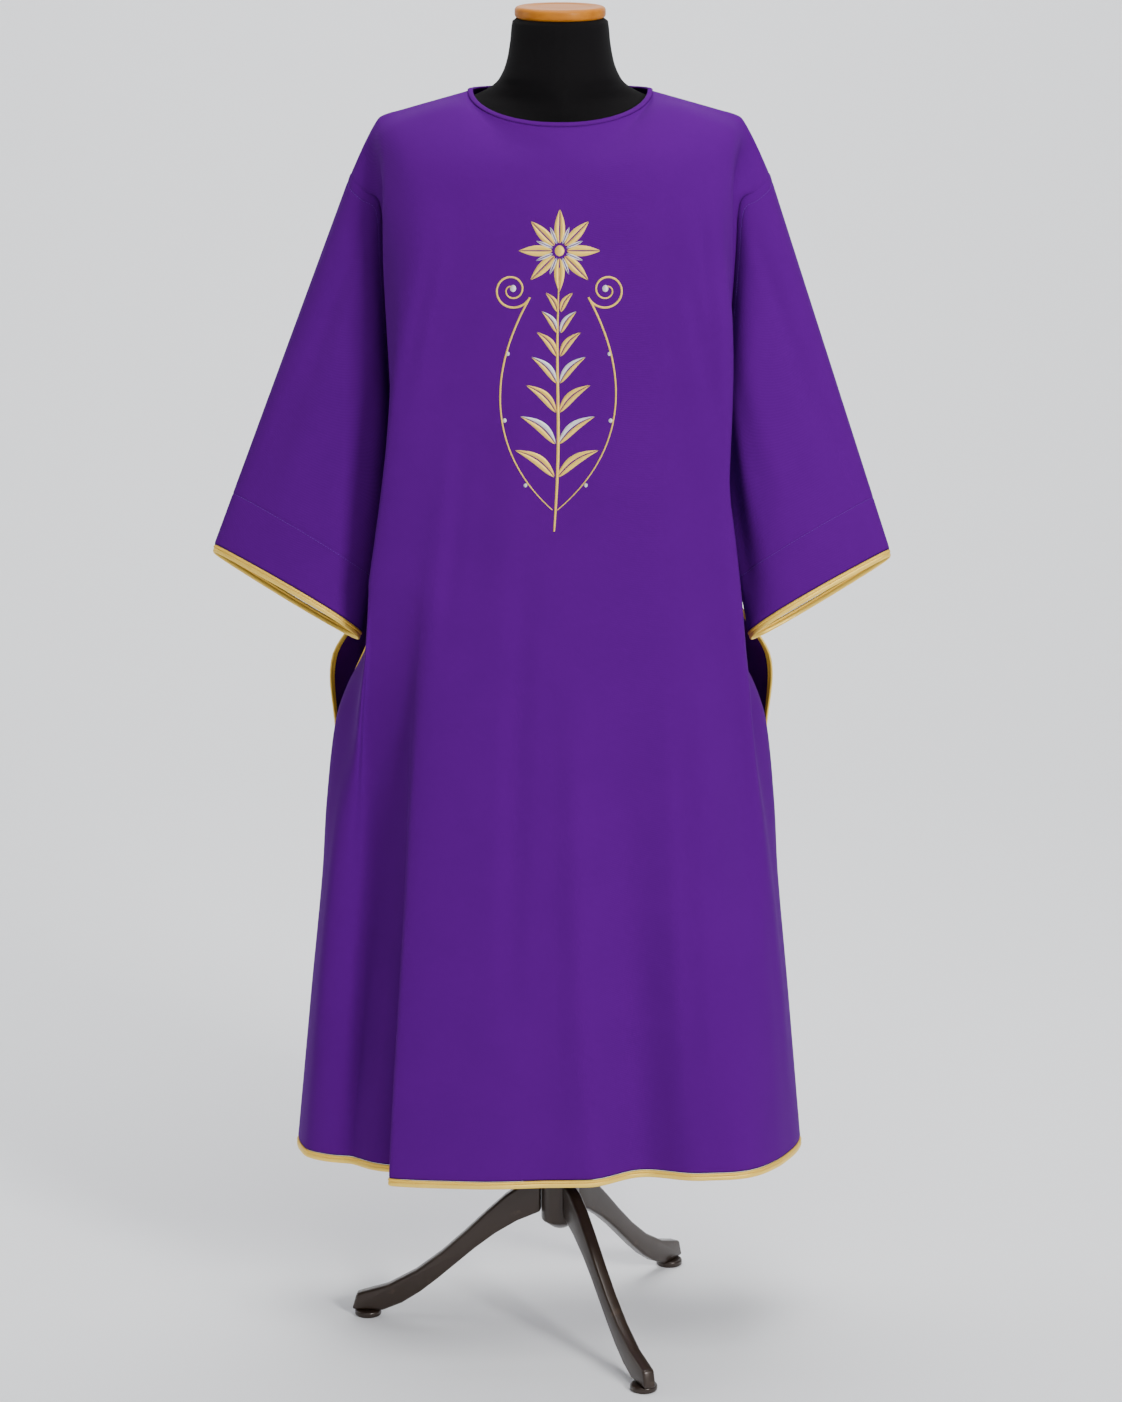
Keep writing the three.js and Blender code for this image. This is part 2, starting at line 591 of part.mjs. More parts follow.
// A leg of the stand, drawn as its side view and given its thickness. r is measured from the pole.
function standLeg() {
  const inner = HUB.radius + SEAM;
  const foot = FOOT.thick + SEAM;
  const side = new THREE.Shape();
  side.moveTo(inner, LEG.rootLow);
  side.lineTo(inner, LEG.rootHigh);
  side.bezierCurveTo(...LEG.upperBend.flat(), LEG.reach, LEG.toeHigh);
  side.lineTo(LEG.reach + LEG.toeOut, foot);
  side.lineTo(LEG.reach - LEG.toeIn, foot);
  side.bezierCurveTo(...LEG.lowerBend.flat(), inner, LEG.rootLow);
  const bar = new THREE.ExtrudeGeometry(side, { depth: LEG.thick, bevelEnabled: false, curveSegments: 8 });
  return bar.translate(0, 0, -LEG.thick / 2).rotateX(Math.PI / 2);
}

const MATERIALS = {
  purple: new THREE.MeshStandardMaterial({ color: 0x54209a, roughness: 0.8, metalness: 0 }),
  gold: new THREE.MeshStandardMaterial({ color: 0xc69b45, roughness: 0.45, metalness: 0.3 }),
  jersey: new THREE.MeshStandardMaterial({ color: 0x121012, roughness: 0.9, metalness: 0 }),
  wood: new THREE.MeshStandardMaterial({ color: 0xab690d, roughness: 0.25, metalness: 0 }),
  darkMetal: new THREE.MeshStandardMaterial({ color: 0x33241c, roughness: 0.4, metalness: 0.6 }),
};

const dalmatic = new THREE.Group();

function add(name, geometry, material) {
  const mesh = new THREE.Mesh(geometry, material.clone());
  mesh.name = name;
  dalmatic.add(mesh);
  return mesh;
}

add("front_panel", wall(front), MATERIALS.purple);
add("back_panel", wall(back), MATERIALS.purple);
add("neck_binding", neckBinding(), MATERIALS.purple);
add("front_piping", panelPiping(front), MATERIALS.gold);
add("back_piping", panelPiping(back), MATERIALS.gold);
for (const [name, hand] of [["right", -1], ["left", 1]]) {
  const sleeve = sleeveSurface(hand);
  add(`sleeve_${name}`, wall(sleeve), MATERIALS.purple);
  add(`cuff_piping_${name}`, cuffPiping(sleeve), MATERIALS.gold);
}

const flangeHigh = FORM.z.at(-1) - SEAM;
const flangeLow = flangeHigh - FLANGE.thick;
const poleHigh = flangeLow - SEAM;
add("form_torso", formTorso(), MATERIALS.jersey);
add("neck_cap", neckCap(), MATERIALS.wood).position.x = FORM_X;
add(
  "form_flange",
  turned([[0, flangeLow], [FLANGE.radius, flangeLow], [FLANGE.radius, flangeHigh], [0, flangeHigh]]),
  MATERIALS.darkMetal,
).position.x = FORM_X;
add(
  "pole",
  turned([[0, HUB.high + SEAM], [POLE_RADIUS, HUB.high + SEAM], [POLE_RADIUS, poleHigh], [0, poleHigh]]),
  MATERIALS.darkMetal,
).position.x = FORM_X;
add(
  "leg_hub",
  turned([
    [0, HUB.low - HUB.taper], [HUB.tip, HUB.low - HUB.tip], [HUB.radius, HUB.low],
    [HUB.radius, HUB.high - HUB.chamfer], [POLE_RADIUS + HUB.collar, HUB.high], [0, HUB.high],
  ]),
  MATERIALS.darkMetal,
).position.x = FORM_X;
LEG.angles.forEach((angle, i) => {
  const turn = THREE.MathUtils.degToRad(angle);
  const leg = add(`leg_${i + 1}`, standLeg(), MATERIALS.darkMetal);
  leg.rotation.z = turn;
  leg.position.x = FORM_X;
  const pad = turned([[0, 0], [FOOT.radius, 0], [FOOT.radius, FOOT.thick], [0, FOOT.thick]], 24);
  add(`foot_${i + 1}`, pad, MATERIALS.darkMetal).position.set(
    FORM_X + FOOT.at * Math.cos(turn), FOOT.at * Math.sin(turn), 0,
  );
});

// The origin is on the floor, under the middle of the whole part.
const box = new THREE.Box3().setFromObject(dalmatic, true);
const centre = box.getCenter(new THREE.Vector3());
dalmatic.position.set(-centre.x, -centre.y, -box.min.z);

export default dalmatic;
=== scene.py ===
"""A dalmatic on a limbless dress form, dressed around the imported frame."""
import logging
import math
from dataclasses import dataclass, field
from enum import Enum
from typing import Callable, Iterable, Sequence

import bmesh
import bpy
import numpy as np
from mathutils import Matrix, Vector


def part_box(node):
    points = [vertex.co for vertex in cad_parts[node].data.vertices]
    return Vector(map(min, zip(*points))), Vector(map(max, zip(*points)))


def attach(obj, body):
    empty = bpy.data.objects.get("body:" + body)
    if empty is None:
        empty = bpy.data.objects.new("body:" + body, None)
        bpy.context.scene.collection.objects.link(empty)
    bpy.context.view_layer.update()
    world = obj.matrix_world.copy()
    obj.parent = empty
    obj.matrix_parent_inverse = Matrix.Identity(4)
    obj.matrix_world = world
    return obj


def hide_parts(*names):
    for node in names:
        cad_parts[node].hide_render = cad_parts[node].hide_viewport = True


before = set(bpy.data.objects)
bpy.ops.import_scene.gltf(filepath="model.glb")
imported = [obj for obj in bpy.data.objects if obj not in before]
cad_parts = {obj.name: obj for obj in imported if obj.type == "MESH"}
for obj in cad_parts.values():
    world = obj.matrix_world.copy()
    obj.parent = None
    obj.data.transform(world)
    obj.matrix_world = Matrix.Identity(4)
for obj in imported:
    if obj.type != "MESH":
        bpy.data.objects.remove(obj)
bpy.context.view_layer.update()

logging.basicConfig(level=logging.INFO, format="%(message)s")
LOG = logging.getLogger("dalmatic")

MM = 0.001
FORM_X = 5.0
CAP_LOW, CAP_HIGH = (np.array(corner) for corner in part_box("neck_cap"))
CAP_CENTRE = (CAP_LOW + CAP_HIGH) / 2
ORIGIN = np.array([CAP_CENTRE[0] / MM - FORM_X, CAP_CENTRE[1] / MM, 0.0])

Array = np.ndarray

# --------------------------------------------------------------------------------------------
# The cut of the cloth, in millimetres: the solids' own tables, and creases that they lack
# --------------------------------------------------------------------------------------------

CLOTH = 1.5
SEAM = 0.3
PIPING_WIDTH = 10.0
HEM_Z = 240.0
CLOTH_END_Z = HEM_Z + PIPING_WIDTH + 0.4
UNDERARM_Z = 1150.0
PIPED_Z = 1125.0
NECK_AT, CREST_AT, BEND_AT, SIDE_AT = 0.4, 0.64, 0.79, 0.91
STATIONS = np.array([0, 0.22, 0.44, CREST_AT, BEND_AT, SIDE_AT, 1])
TOP_Z, SHOULDER_Z, YOKE_Z = 1570.0, 1538.0, 1494.0
# How sharply the flat middle of a level bulges, and how far to either side in u directions are read.
MIDDLE_BULGE, FRAME_STEP = 2.4, 0.03

SECTION = ("z", "middle_y", "crest_x", "crest_y", "bend_x", "bend_y", "side_x", "side_y", "edge_x", "edge_y")
FOLD = ("head_at", "foot_at", "head_z", "foot_z", "depth", "half")


class Side(Enum):
    """Which half of the garment a panel is, as the sign of its Y."""

    FRONT = -1
    BACK = 1


class Hand(Enum):
    """Which of the wearer's sides a sleeve is on, as the sign of its X."""

    RIGHT = -1
    LEFT = 1


def table(names: Sequence[str], rows: Sequence[Sequence[float]]) -> dict[str, Array]:
    """Turns rows of numbers into named columns.

    Args:
        names: a name for each column.
        rows: one row for each section, point or fold.

    Returns:
        The columns by name.
    """
    columns = np.array(rows, dtype=float).T
    return dict(zip(names, columns))


FRONT_SECTIONS = table(SECTION, [
    (1440, -122, 170, -106, 209, -74, 213, -46, 216, -24),
    (1380, -130, 173, -116, 208, -79, 211, -46, 212, -20),
    (1310, -134, 184, -120, 205, -86, 207, -46, 208, -18),
    (1200, -136, 197, -119, 200, -88, 200, -46, 201, -14),
    (UNDERARM_Z, -137, 202, -118, 199, -88, 198, -44, 200, -11.5),
    (1090, -137, 208, -116, 203, -84, 199, -44, 201, -13),
    (1000, -138, 219, -113, 212, -80, 207, -42, 209, -12),
    (905, -140, 230, -110, 223, -76, 221, -40, 223, -10),
    (850, -141, 237, -106, 235, -74, 249, -36, 245, -5),
    (800, -142, 242, -102, 244, -72, 265, -32, 258, 0),
    (700, -145, 248, -94, 262, -62, 277, -24, 268, 8),
    (600, -148, 252, -94, 274, -58, 284, -14, 275, 12),
    (450, -154, 259, -100, 289, -58, 299, -10, 289, 15),
    (CLOTH_END_Z, -164, 270, -106, 304, -54, 318, -6, 312, 20),
])
BACK_SECTIONS = table(SECTION, [
    (1440, 112, 166, 98, 208, 72, 213, 48, 216, 26),
    (1380, 120, 171, 108, 207, 76, 211, 48, 212, 22),
    (1310, 123, 183, 112, 205, 82, 207, 48, 208, 20),
    (1200, 121, 196, 112, 200, 86, 200, 47, 201, 16),
    (UNDERARM_Z, 120, 202, 112, 200, 84, 199, 46, 200, 11.5),
    (1090, 119, 207, 112, 203, 82, 200, 46, 202, 15),
    (1000, 119, 218, 112, 212, 80, 207, 47, 211, 18),
    (930, 120, 226, 113, 224, 80, 226, 50, 234, 24),
    (870, 122, 234, 114, 236, 80, 252, 54, 267, 30),
    (790, 125, 243, 115, 250, 80, 264, 58, 268, 34),
    (700, 130, 252, 118, 266, 84, 270, 60, 262, 38),
    (600, 136, 260, 122, 279, 87, 280, 62, 268, 41),
    (450, 146, 272, 130, 295, 92, 296, 66, 284, 45),
    (CLOTH_END_Z, 162, 290, 148, 316, 102, 318, 78, 306, 53),
])
LEAN = table(("z", "x"), [(1474, 5), (1200, 2), (1000, -4), (800, -6.5), (HEM_Z, -9)])
NECK_X, NECK_Z, NECK_SLOPE = 111.0, 1572.5, 0.28
NECK_LEVEL = math.sqrt(1 - NECK_SLOPE ** 2)
SHOULDER_LINE = table(("at", "x", "z"), [
    (NECK_AT, NECK_X, NECK_Z),
    (CREST_AT, 187, 1551),
    (BEND_AT, 216, 1541.5),
    (0.83, 224, 1531),
    (SIDE_AT, 237, 1506),
    (1, 252, 1473),
])
FRONT_SHOULDER = np.array([
    (0, -93, 1522), (70, -79, 1527), (121, -50, 1553), (185, -42, 1537),
    (215, -30, 1521), (232, -12, 1498), (248, -12, 1465),
], dtype=float)
BACK_SHOULDER = np.array([
    (0, 93, 1550), (68, 80, 1552), (120, 50, 1551), (184, 42, 1533),
    (214, 30, 1522), (232, 14, 1498), (248, 12, 1465),
], dtype=float)
FRONT_YOKE = np.array([
    (0, -106, 1493), (61, -105, 1494), (123, -96, 1500), (180, -78, 1498),
    (211, -52, 1490), (224, -28, 1476), (234, -22, 1454),
], dtype=float)
BACK_YOKE = np.array([
    (0, 104, 1500), (61, 101, 1500), (123, 88, 1500), (178, 70, 1498),
    (210, 50, 1492), (224, 28, 1476), (234, 22, 1454),
], dtype=float)

FRONT_FOLDS = table(FOLD, [
    (0.22, 0.285, 1000, HEM_Z, -30, 76),
    (0.5, 0.62, 1180, 640, -9, 42),
    (0.52, 0.56, 620, HEM_Z, 9, 60),
    (-0.18, -0.2, 1150, HEM_Z, 8, 95),
    (-0.27, -0.3, 1330, 1000, -4, 50),
])
BACK_FOLDS = table(FOLD, [
    (-0.36, -0.4, 1250, HEM_Z, -26, 62),
    (0.02, -0.03, 1180, HEM_Z, -20, 58),
    (0.4, 0.45, 1280, HEM_Z, -28, 66),
    (0.2, 0.21, 1100, HEM_Z, 12, 50),
    (-0.19, -0.22, 1100, HEM_Z, 10, 48),
])
# Creases that the solids lack. Each runs from its head to its foot, and fades at both.
FRONT_CREASES = table(FOLD, [
    (-0.59, -0.68, 990, -140, -33, 68),
    (0.69, 0.72, 1480, 1120, 10, 26),
    (0.87, 0.88, 1568, 1090, -21, 30),
    (-0.89, -0.9, 1560, 1240, -9, 24),
    (0.74, 0.74, 1090, 830, 7, 32),
    (-0.1, -0.12, 1060, 420, -2.6, 26),
    (0.07, 0.1, 900, 250, 2.4, 30),
    (0.42, 0.44, 860, 300, -3.0, 22),
    (-0.74, -0.76, 760, 260, 3.2, 22),
    (-0.62, -0.66, 560, 240, -3.4, 20),
    (0.72, 0.8, 900, 330, 2.6, 20),
    (-0.56, -0.6, 1420, 1190, -1.6, 16),
    (0.55, 0.58, 1400, 1200, -1.8, 17),
    (-0.36, -0.36, 1180, 900, -1.8, 20),
])
BACK_CREASES = table(FOLD, [
    (-0.08, -0.12, 1000, 380, 3.0, 26),
    (0.11, 0.1, 820, 260, -3.2, 24),
    (0.56, 0.6, 900, 280, 3.4, 24),
    (-0.55, -0.58, 980, 420, 3.2, 24),
    (-0.7, -0.72, 700, 250, -3.0, 20),
    (0.32, 0.3, 1420, 1180, -2.4, 24),
    (-0.3, -0.3, 1400, 1150, -2.2, 26),
])
# How far below its foot a fold dies out, how a crease swells, and how many levels fold widths are read at.
FOLD_TAIL, CREASE_SWELL, FOLD_LEVELS = 120.0, 0.8, 60


def curve(knots: Array, values: Array, at: Array) -> Array:
    """Smooth values of a curve through knots.

    Args:
        knots: rising knots, one for each row of values.
        values: one row for each knot. Where the rows are as long as at, each entry is its own curve.
        at: where the curve is read.

    Returns:
        One value, or one row, for each entry of at.
    """
    at = np.atleast_1d(np.asarray(at, dtype=float))
    last = len(knots) - 1
    order = np.arange(last + 1)
    before, after = np.maximum(order - 1, 0), np.minimum(order + 1, last)
    stretch = (knots[after] - knots[before]).reshape((-1,) + (1,) * (values.ndim - 1))
    slopes = (values[after] - values[before]) / stretch
    i = np.clip(np.searchsorted(knots, at) - 1, 0, last - 1)
    span = knots[i + 1] - knots[i]
    t = np.clip((at - knots[i]) / span, 0, 1)
    own = values.ndim > 1 and values.shape[1] == len(at) and values.ndim == 3

    def pick(rows: Array, index: Array) -> Array:
        """The entries of rows that belong to each place."""
        return rows[index, np.arange(len(at))] if own else rows[index]

    start, end = pick(values, i), pick(values, i + 1)
    leave, arrive = pick(slopes, i), pick(slopes, i + 1)
    shape = (-1,) + (1,) * (start.ndim - 1)
    t, span = t.reshape(shape), span.reshape(shape)
    blend = t * t * (3 - 2 * t)
    return start + (end - start) * blend + span * leave * t * (1 - t) ** 2 - span * arrive * t * t * (1 - t)


def smoothstep(value: Array) -> Array:
    """An even ramp from 0 to 1 with soft ends."""
    share = np.clip(value, 0, 1)
    return share * share * (3 - 2 * share)


def lean(z: Array) -> Array:
    """How far the hanging cloth's middle sits towards the wearer's left at a height."""
    return curve(-LEAN["z"], LEAN["x"], -z)


def unit(vectors: Array) -> Array:
    """Vectors made one long."""
    return vectors / np.maximum(np.linalg.norm(vectors, axis=-1, keepdims=True), 1e-12)


def to_row(points: Array) -> Array:
    """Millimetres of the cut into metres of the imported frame."""
    return (points + ORIGIN) * MM


def grid_normals(grid: Array, closed: bool) -> Array:
    """Unit normals of a grid of points, across times down.

    Args:
        grid: rows by columns of points.
        closed: whether the last column is the first one again.

    Returns:
        A normal for each point.
    """
    if closed:
        ring = grid[:, :-1]
        across = np.roll(ring, -1, axis=1) - np.roll(ring, 1, axis=1)
        across = np.concatenate([across, across[:, :1]], axis=1)
    else:
        across = np.gradient(grid, axis=1)
    return unit(np.cross(across, np.gradient(grid, axis=0)))


@dataclass(frozen=True)
class Neckline:
    """How a neckline reaches away from the shoulder line, drops, and rises off the chest."""

    deep: float
    drop: float
    rise: float

    def points(self, share: Array, side: Side, inset: float = 0.0) -> Array:
        """Points of the neckline.

        Args:
            share: from -1 to 1 along its half turn.
            side: the panel it belongs to.
            inset: how far up the form's neck the points are moved.

        Returns:
            One point for each share.
        """
        turn = np.pi / 2 * share
        forward, sideways = np.cos(turn), np.abs(np.sin(turn))
        deep = self.deep - inset * math.sqrt(1 - self.rise ** 2)
        climb = self.rise + (NECK_SLOPE - self.rise) * sideways
        return np.stack([
            (NECK_X - inset * NECK_LEVEL) * np.sin(turn) + LEAN["x"][0],
            side.value * (0.1 + deep * forward),
            NECK_Z - self.drop * forward + inset * climb,
        ], axis=-1)


@dataclass
class Panel:
    """A front or back panel as a surface of u, from -1 to 1 across it, and z, its nominal height."""

    side: Side
    sections: dict[str, Array]
    shoulder: Array
    yoke: Array
    neckline: Neckline
    folds: dict[str, Array]
    creases: dict[str, Array]

    def _level_row(self, row: int) -> Array:
        """Station points of one level, with its flat middle bulging a little towards its centre.

        Args:
            row: the section it belongs to.

        Returns:
            One point for each station.
        """
        s = self.sections
        share = STATIONS[:3] / CREST_AT
        middle_y = s["middle_y"][row] + (s["crest_y"][row] - s["middle_y"][row]) * share ** MIDDLE_BULGE
        middle = np.stack([s["crest_x"][row] * share, middle_y, np.full(3, s["z"][row])], axis=-1)
        outer = [(s[n + "_x"][row], s[n + "_y"][row], s["z"][row]) for n in ("crest", "bend", "side", "edge")]
        return np.vstack([middle, outer])

    def _across(self, half: Array, u: Array) -> Array:
        """A half row made whole and read at u.

        Args:
            half: the stations of one half, from the middle out.
            u: places across the panel.

        Returns:
            A point for each place.
        """
        mirrored = half[1] * (-1, 1, 1)
        points = curve(np.concatenate([[-STATIONS[1]], STATIONS]), np.vstack([mirrored, half]), np.abs(u))
        points[:, 0] = points[:, 0] * np.sign(u) + lean(points[:, 2])
        return points

    def _top_edge(self, u: Array) -> Array:
        """The neckline and the shoulder line at u.

        Args:
            u: places across it, from -1 to 1.

        Returns:
            A point for each place.
        """
        at = np.abs(u)
        neck = self.neckline.points(np.clip(u / NECK_AT, -1, 1), self.side)
        x = curve(SHOULDER_LINE["at"], SHOULDER_LINE["x"], at) * np.sign(u) + LEAN["x"][0]
        z = curve(SHOULDER_LINE["at"], SHOULDER_LINE["z"], at)
        line = np.stack([x, np.full_like(u, self.side.value * 0.1), z], axis=-1)
        return np.where((at <= NECK_AT)[:, None], neck, line)

    def base(self, u: Array, z: Array) -> Array:
        """Points of the panel before its folds, for matching u and z.

        Args:
            u: places across it, from -1 to 1.
            z: a nominal height for each.

        Returns:
            A point for each pair.
        """
        rows = [self._top_edge(u), self._across(self.shoulder, u), self._across(self.yoke, u)]
        rows += [self._across(self._level_row(i), u) for i in range(len(self.sections["z"]))]
        knots = np.concatenate([[-TOP_Z, -SHOULDER_Z, -YOKE_Z], -self.sections["z"]])
        return curve(knots, np.stack(rows), -z)

    def directions(self, u: Array, z: Array) -> tuple[Array, Array, Array]:
        """Level unit directions across the cloth and out of it, and millimetres per unit of u.

        Args:
            u: places across it, from -1 to 1.
            z: a nominal height for each.

        Returns:
            The two directions and the width of u at each pair.
        """
        low, high = np.maximum(u - FRAME_STEP, -1), np.minimum(u + FRAME_STEP, 1)
        across = self.base(high, z) - self.base(low, z)
        across[:, 2] = 0
        width = np.linalg.norm(across, axis=1) / (high - low)
        across = unit(across)
        out = np.stack([across[:, 1], -across[:, 0], np.zeros(len(u))], axis=-1) * -self.side.value
        return across, out, width

    def _fold_depth(self, folds: dict[str, Array], u: Array, z: Array, both_ends: bool) -> Array:
        """How far a table of folds moves each point outwards.

        Args:
            folds: the table.
            u: places across it, from -1 to 1.
            z: a nominal height for each.
            both_ends: whether the folds fade at their heads and feet alike.

        Returns:
            Millimetres outwards for each pair.
        """
        depth = np.zeros(len(u))
        for head_at, foot_at, head_z, foot_z, deep, half in zip(*(folds[name] for name in FOLD)):
            down = np.clip((head_z - z) / (head_z - foot_z), 0, 1)
            at = head_at + (foot_at - head_at) * down
            heights = np.linspace(TOP_Z, CLOTH_END_Z, FOLD_LEVELS)
            down_there = np.clip((head_z - heights) / (head_z - foot_z), 0, 1)
            width_there = self.directions(head_at + (foot_at - head_at) * down_there, heights)[2]
            width = np.interp(-z, -heights, width_there)
            away = np.abs(u - at) * width
            bump = np.where(away < half, np.cos(np.pi / 2 * away / half) ** 2, 0)
            if both_ends:
                along = np.sin(np.pi * np.clip(down, 0, 1)) ** CREASE_SWELL * (z > foot_z)
            else:
                along = smoothstep(down) * (1 - np.clip((foot_z - z) / FOLD_TAIL, 0, 1))
            depth += deep * bump * along
        return depth

    def points(self, u: Array, z: Array) -> Array:
        """Points of the finished cloth, for matching u and z.

        Args:
            u: places across it, from -1 to 1.
            z: a nominal height for each.

        Returns:
            A point for each pair.
        """
        _, out, _ = self.directions(u, z)
        depth = self._fold_depth(self.folds, u, z, False) + self._fold_depth(self.creases, u, z, True)
        return self.base(u, z) + out * depth[:, None]

    def grid(self, u: Array, z: Array) -> Array:
        """Rows of points for heights z, each at every u."""
        across, down = np.meshgrid(u, z)
        return self.points(across.ravel(), down.ravel()).reshape(len(z), len(u), 3)

    def surface(self, u: Array, z: Array) -> tuple[Array, Array]:
        """A grid of the cloth's outer face and its outward normals."""
        grid = self.grid(u, z)
        return grid, grid_normals(grid, False) * self.side.value


@dataclass
class PleatedPanel(Panel):
    """The front, with its long pleat on the wearer's right."""

    at: float = -0.448
    head_z: float = 1260.0
    rise: float = 20.0
    valley: float = 30.0
    over: float = 13.0
    over_reach: float = 24.0
    reach: float = 70.0
    head_edge: float = 34.0
    foot_edge: float = 5.0

    def points(self, u: Array, z: Array) -> Array:
        """Points of the finished cloth with the pleat, for matching u and z.

        Args:
            u: places across it, from -1 to 1.
            z: a nominal height for each.

        Returns:
            A point for each pair.
        """
        across, out, _ = self.directions(u, z)
        down = smoothstep((self.head_z - z) / (self.head_z - HEM_Z))
        away = (u - self.at) * self.directions(np.full_like(u, self.at), z)[2]
        step = np.tanh(away / (self.head_edge + (self.foot_edge - self.head_edge) * np.sqrt(down)))
        fade = np.exp(-((away / self.reach) ** 2)) * down
        near = np.exp(-((away / self.over_reach) ** 2)) * down
        shift = np.where(step > 0, self.rise, self.valley) * step * fade
        sideways = -self.over * step * near
        return super().points(u, z) + out * shift[:, None] + across * sideways[:, None]


FRONT_NECK = Neckline(deep=83.0, drop=33.5, rise=0.62)
BACK_NECK = Neckline(deep=82.0, drop=5.0, rise=0.35)
FRONT = PleatedPanel(
    Side.FRONT, FRONT_SECTIONS, FRONT_SHOULDER, FRONT_YOKE, FRONT_NECK, FRONT_FOLDS, FRONT_CREASES,
)
BACK = Panel(Side.BACK, BACK_SECTIONS, BACK_SHOULDER, BACK_YOKE, BACK_NECK, BACK_FOLDS, BACK_CREASES)

# --------------------------------------------------------------------------------------------
# Shader graphs
# --------------------------------------------------------------------------------------------

Colour = tuple[float, float, float]


class Value:
    """A shader socket that turns arithmetic into Math nodes."""

    def __init__(self, graph: "Graph", socket: bpy.types.NodeSocket) -> None:
        """Wraps one output socket of a graph."""
        self.graph = graph
        self.socket = socket

    def math(self, operation: str, *inputs: "Value | float") -> "Value":
        """Adds a Math node.

        Args:
            operation: the node's operation.
            inputs: its inputs in order.

        Returns:
            Its result.
        """
        node = self.graph.node("ShaderNodeMath", {"operation": operation}, dict(enumerate(inputs)))
        return Value(self.graph, node.outputs[0])

    def __add__(self, other: "Value | float") -> "Value":
        """Adds."""
        return self.math("ADD", self, other)

    def __sub__(self, other: "Value | float") -> "Value":
        """Takes away."""
        return self.math("SUBTRACT", self, other)

    def __rsub__(self, other: float) -> "Value":
        """Takes this from a number."""
        return self.math("SUBTRACT", other, self)

    def __mul__(self, other: "Value | float") -> "Value":
        """Multiplies."""
        return self.math("MULTIPLY", self, other)

    __radd__ = __add__
    __rmul__ = __mul__

    def sine(self) -> "Value":
        """The sine, from -1 to 1."""
        return self.math("SINE", self)

    def wave(self) -> "Value":
        """Even waves from 0 to 1, one for each turn."""
        return self.sine() * 0.5 + 0.5

    def clamped(self) -> "Value":
        """The value kept from 0 to 1."""
        return self.math("MINIMUM", self.math("MAXIMUM", self, 0.0), 1.0)


class Graph:
    """The node tree of one material, made with a single node method."""

    def __init__(self, name: str) -> None:
        """Starts a material of a name with an empty tree.

        Args:
            name: the material's name.
        """
        self.material = bpy.data.materials.new(name)
        self.material.use_nodes = True
        self.material.node_tree.nodes.clear()

    def node(self, kind: str, settings: dict | None = None, sockets: dict | None = None) -> bpy.types.Node:
        """Makes any node.

        Args:
            kind: the node's type.
            settings: its properties, set first; "stops" gives a ramp's places and colours.
            sockets: values or links of its inputs, by name or number.

        Returns:
            The node.
        """
        node = self.material.node_tree.nodes.new(kind)
        for key, setting in (settings or {}).items():
            if key == "stops":
                ramp = node.color_ramp.elements
                while len(ramp) < len(setting):
                    ramp.new(0.5)
                for element, (place, colour) in zip(ramp, setting):
                    element.position, element.color = place, (*colour, 1.0)
            else:
                setattr(node, key, setting)
        for key, value in (sockets or {}).items():
            if isinstance(value, Value):
                value = value.socket
            if isinstance(value, bpy.types.NodeSocket):
                self.material.node_tree.links.new(value, node.inputs[key])
            elif isinstance(value, tuple) and len(value) == 3 and node.inputs[key].type == "RGBA":
                node.inputs[key].default_value = (*value, 1.0)
            else:
                node.inputs[key].default_value = value
        return node

    def split(self, vector: bpy.types.NodeSocket) -> tuple[Value, Value, Value]:
        """The three parts of a vector."""
        node = self.node("ShaderNodeSeparateXYZ", None, {0: vector})
        return tuple(Value(self, socket) for socket in node.outputs)

    def thread(self) -> bpy.types.NodeSocket:
        """The piece's own map along its threads, in metres."""
        return self.node("ShaderNodeUVMap", {"uv_map": THREAD_MAP}).outputs[0]

    def placed(self) -> bpy.types.NodeSocket:
        """The place on the object, in metres."""
        return self.node("ShaderNodeTexCoord").outputs["Object"]

    def attribute(self, name: str) -> Value:
        """A value stored on the piece's points."""
        return Value(self, self.node("ShaderNodeAttribute", {"attribute_name": name}).outputs["Fac"])

    def stretched(
        self, vector: bpy.types.NodeSocket, scale: tuple[float, float, float],
    ) -> bpy.types.NodeSocket:
        """A vector scaled along each axis."""
        return self.node("ShaderNodeMapping", None, {"Vector": vector, "Scale": scale}).outputs[0]

    def noise(self, vector: bpy.types.NodeSocket, scale: float, detail: float = 2.0) -> Value:
        """Soft noise from 0 to 1, with a pattern size of 1 / scale metres."""
        sockets = {"Vector": vector, "Scale": scale, "Detail": detail, "Roughness": 0.55}
        return Value(self, self.node("ShaderNodeTexNoise", None, sockets).outputs["Fac"])

    def blend(self, share: "Value | float", first: object, second: object) -> bpy.types.NodeSocket:
        """Mixes two colours.

        Args:
            share: 0 for the first and 1 for the second.
            first: a colour or a link.
            second: a colour or a link.

        Returns:
            The mixed colour.
        """
        node = self.node("ShaderNodeMix", {"data_type": "RGBA"}, {0: share, 6: first, 7: second})
        return node.outputs[2]

    def bump(self, height: Value, depth: float, strength: float = 1.0) -> bpy.types.NodeSocket:
        """A normal from a height of 0 to 1 that stands for depth metres."""
        sockets = {"Height": height, "Distance": depth, "Strength": strength}
        return self.node("ShaderNodeBump", None, sockets).outputs[0]

    def finish(self, sockets: dict) -> bpy.types.Material:
        """Adds the Principled shader and the output, and hands over the material.

        Args:
            sockets: values or links of the shader's inputs, by name.

        Returns:
            The material.
        """
        shader = self.node("ShaderNodeBsdfPrincipled", None, sockets)
        self.node("ShaderNodeOutputMaterial", None, {"Surface": shader.outputs[0]})
        return self.material


THREAD_MAP = "thread"
# The point attribute that carries the painted shade along seams and hems.
SEAM_SHADE_MASK = "seam"
TURN = 2 * math.pi


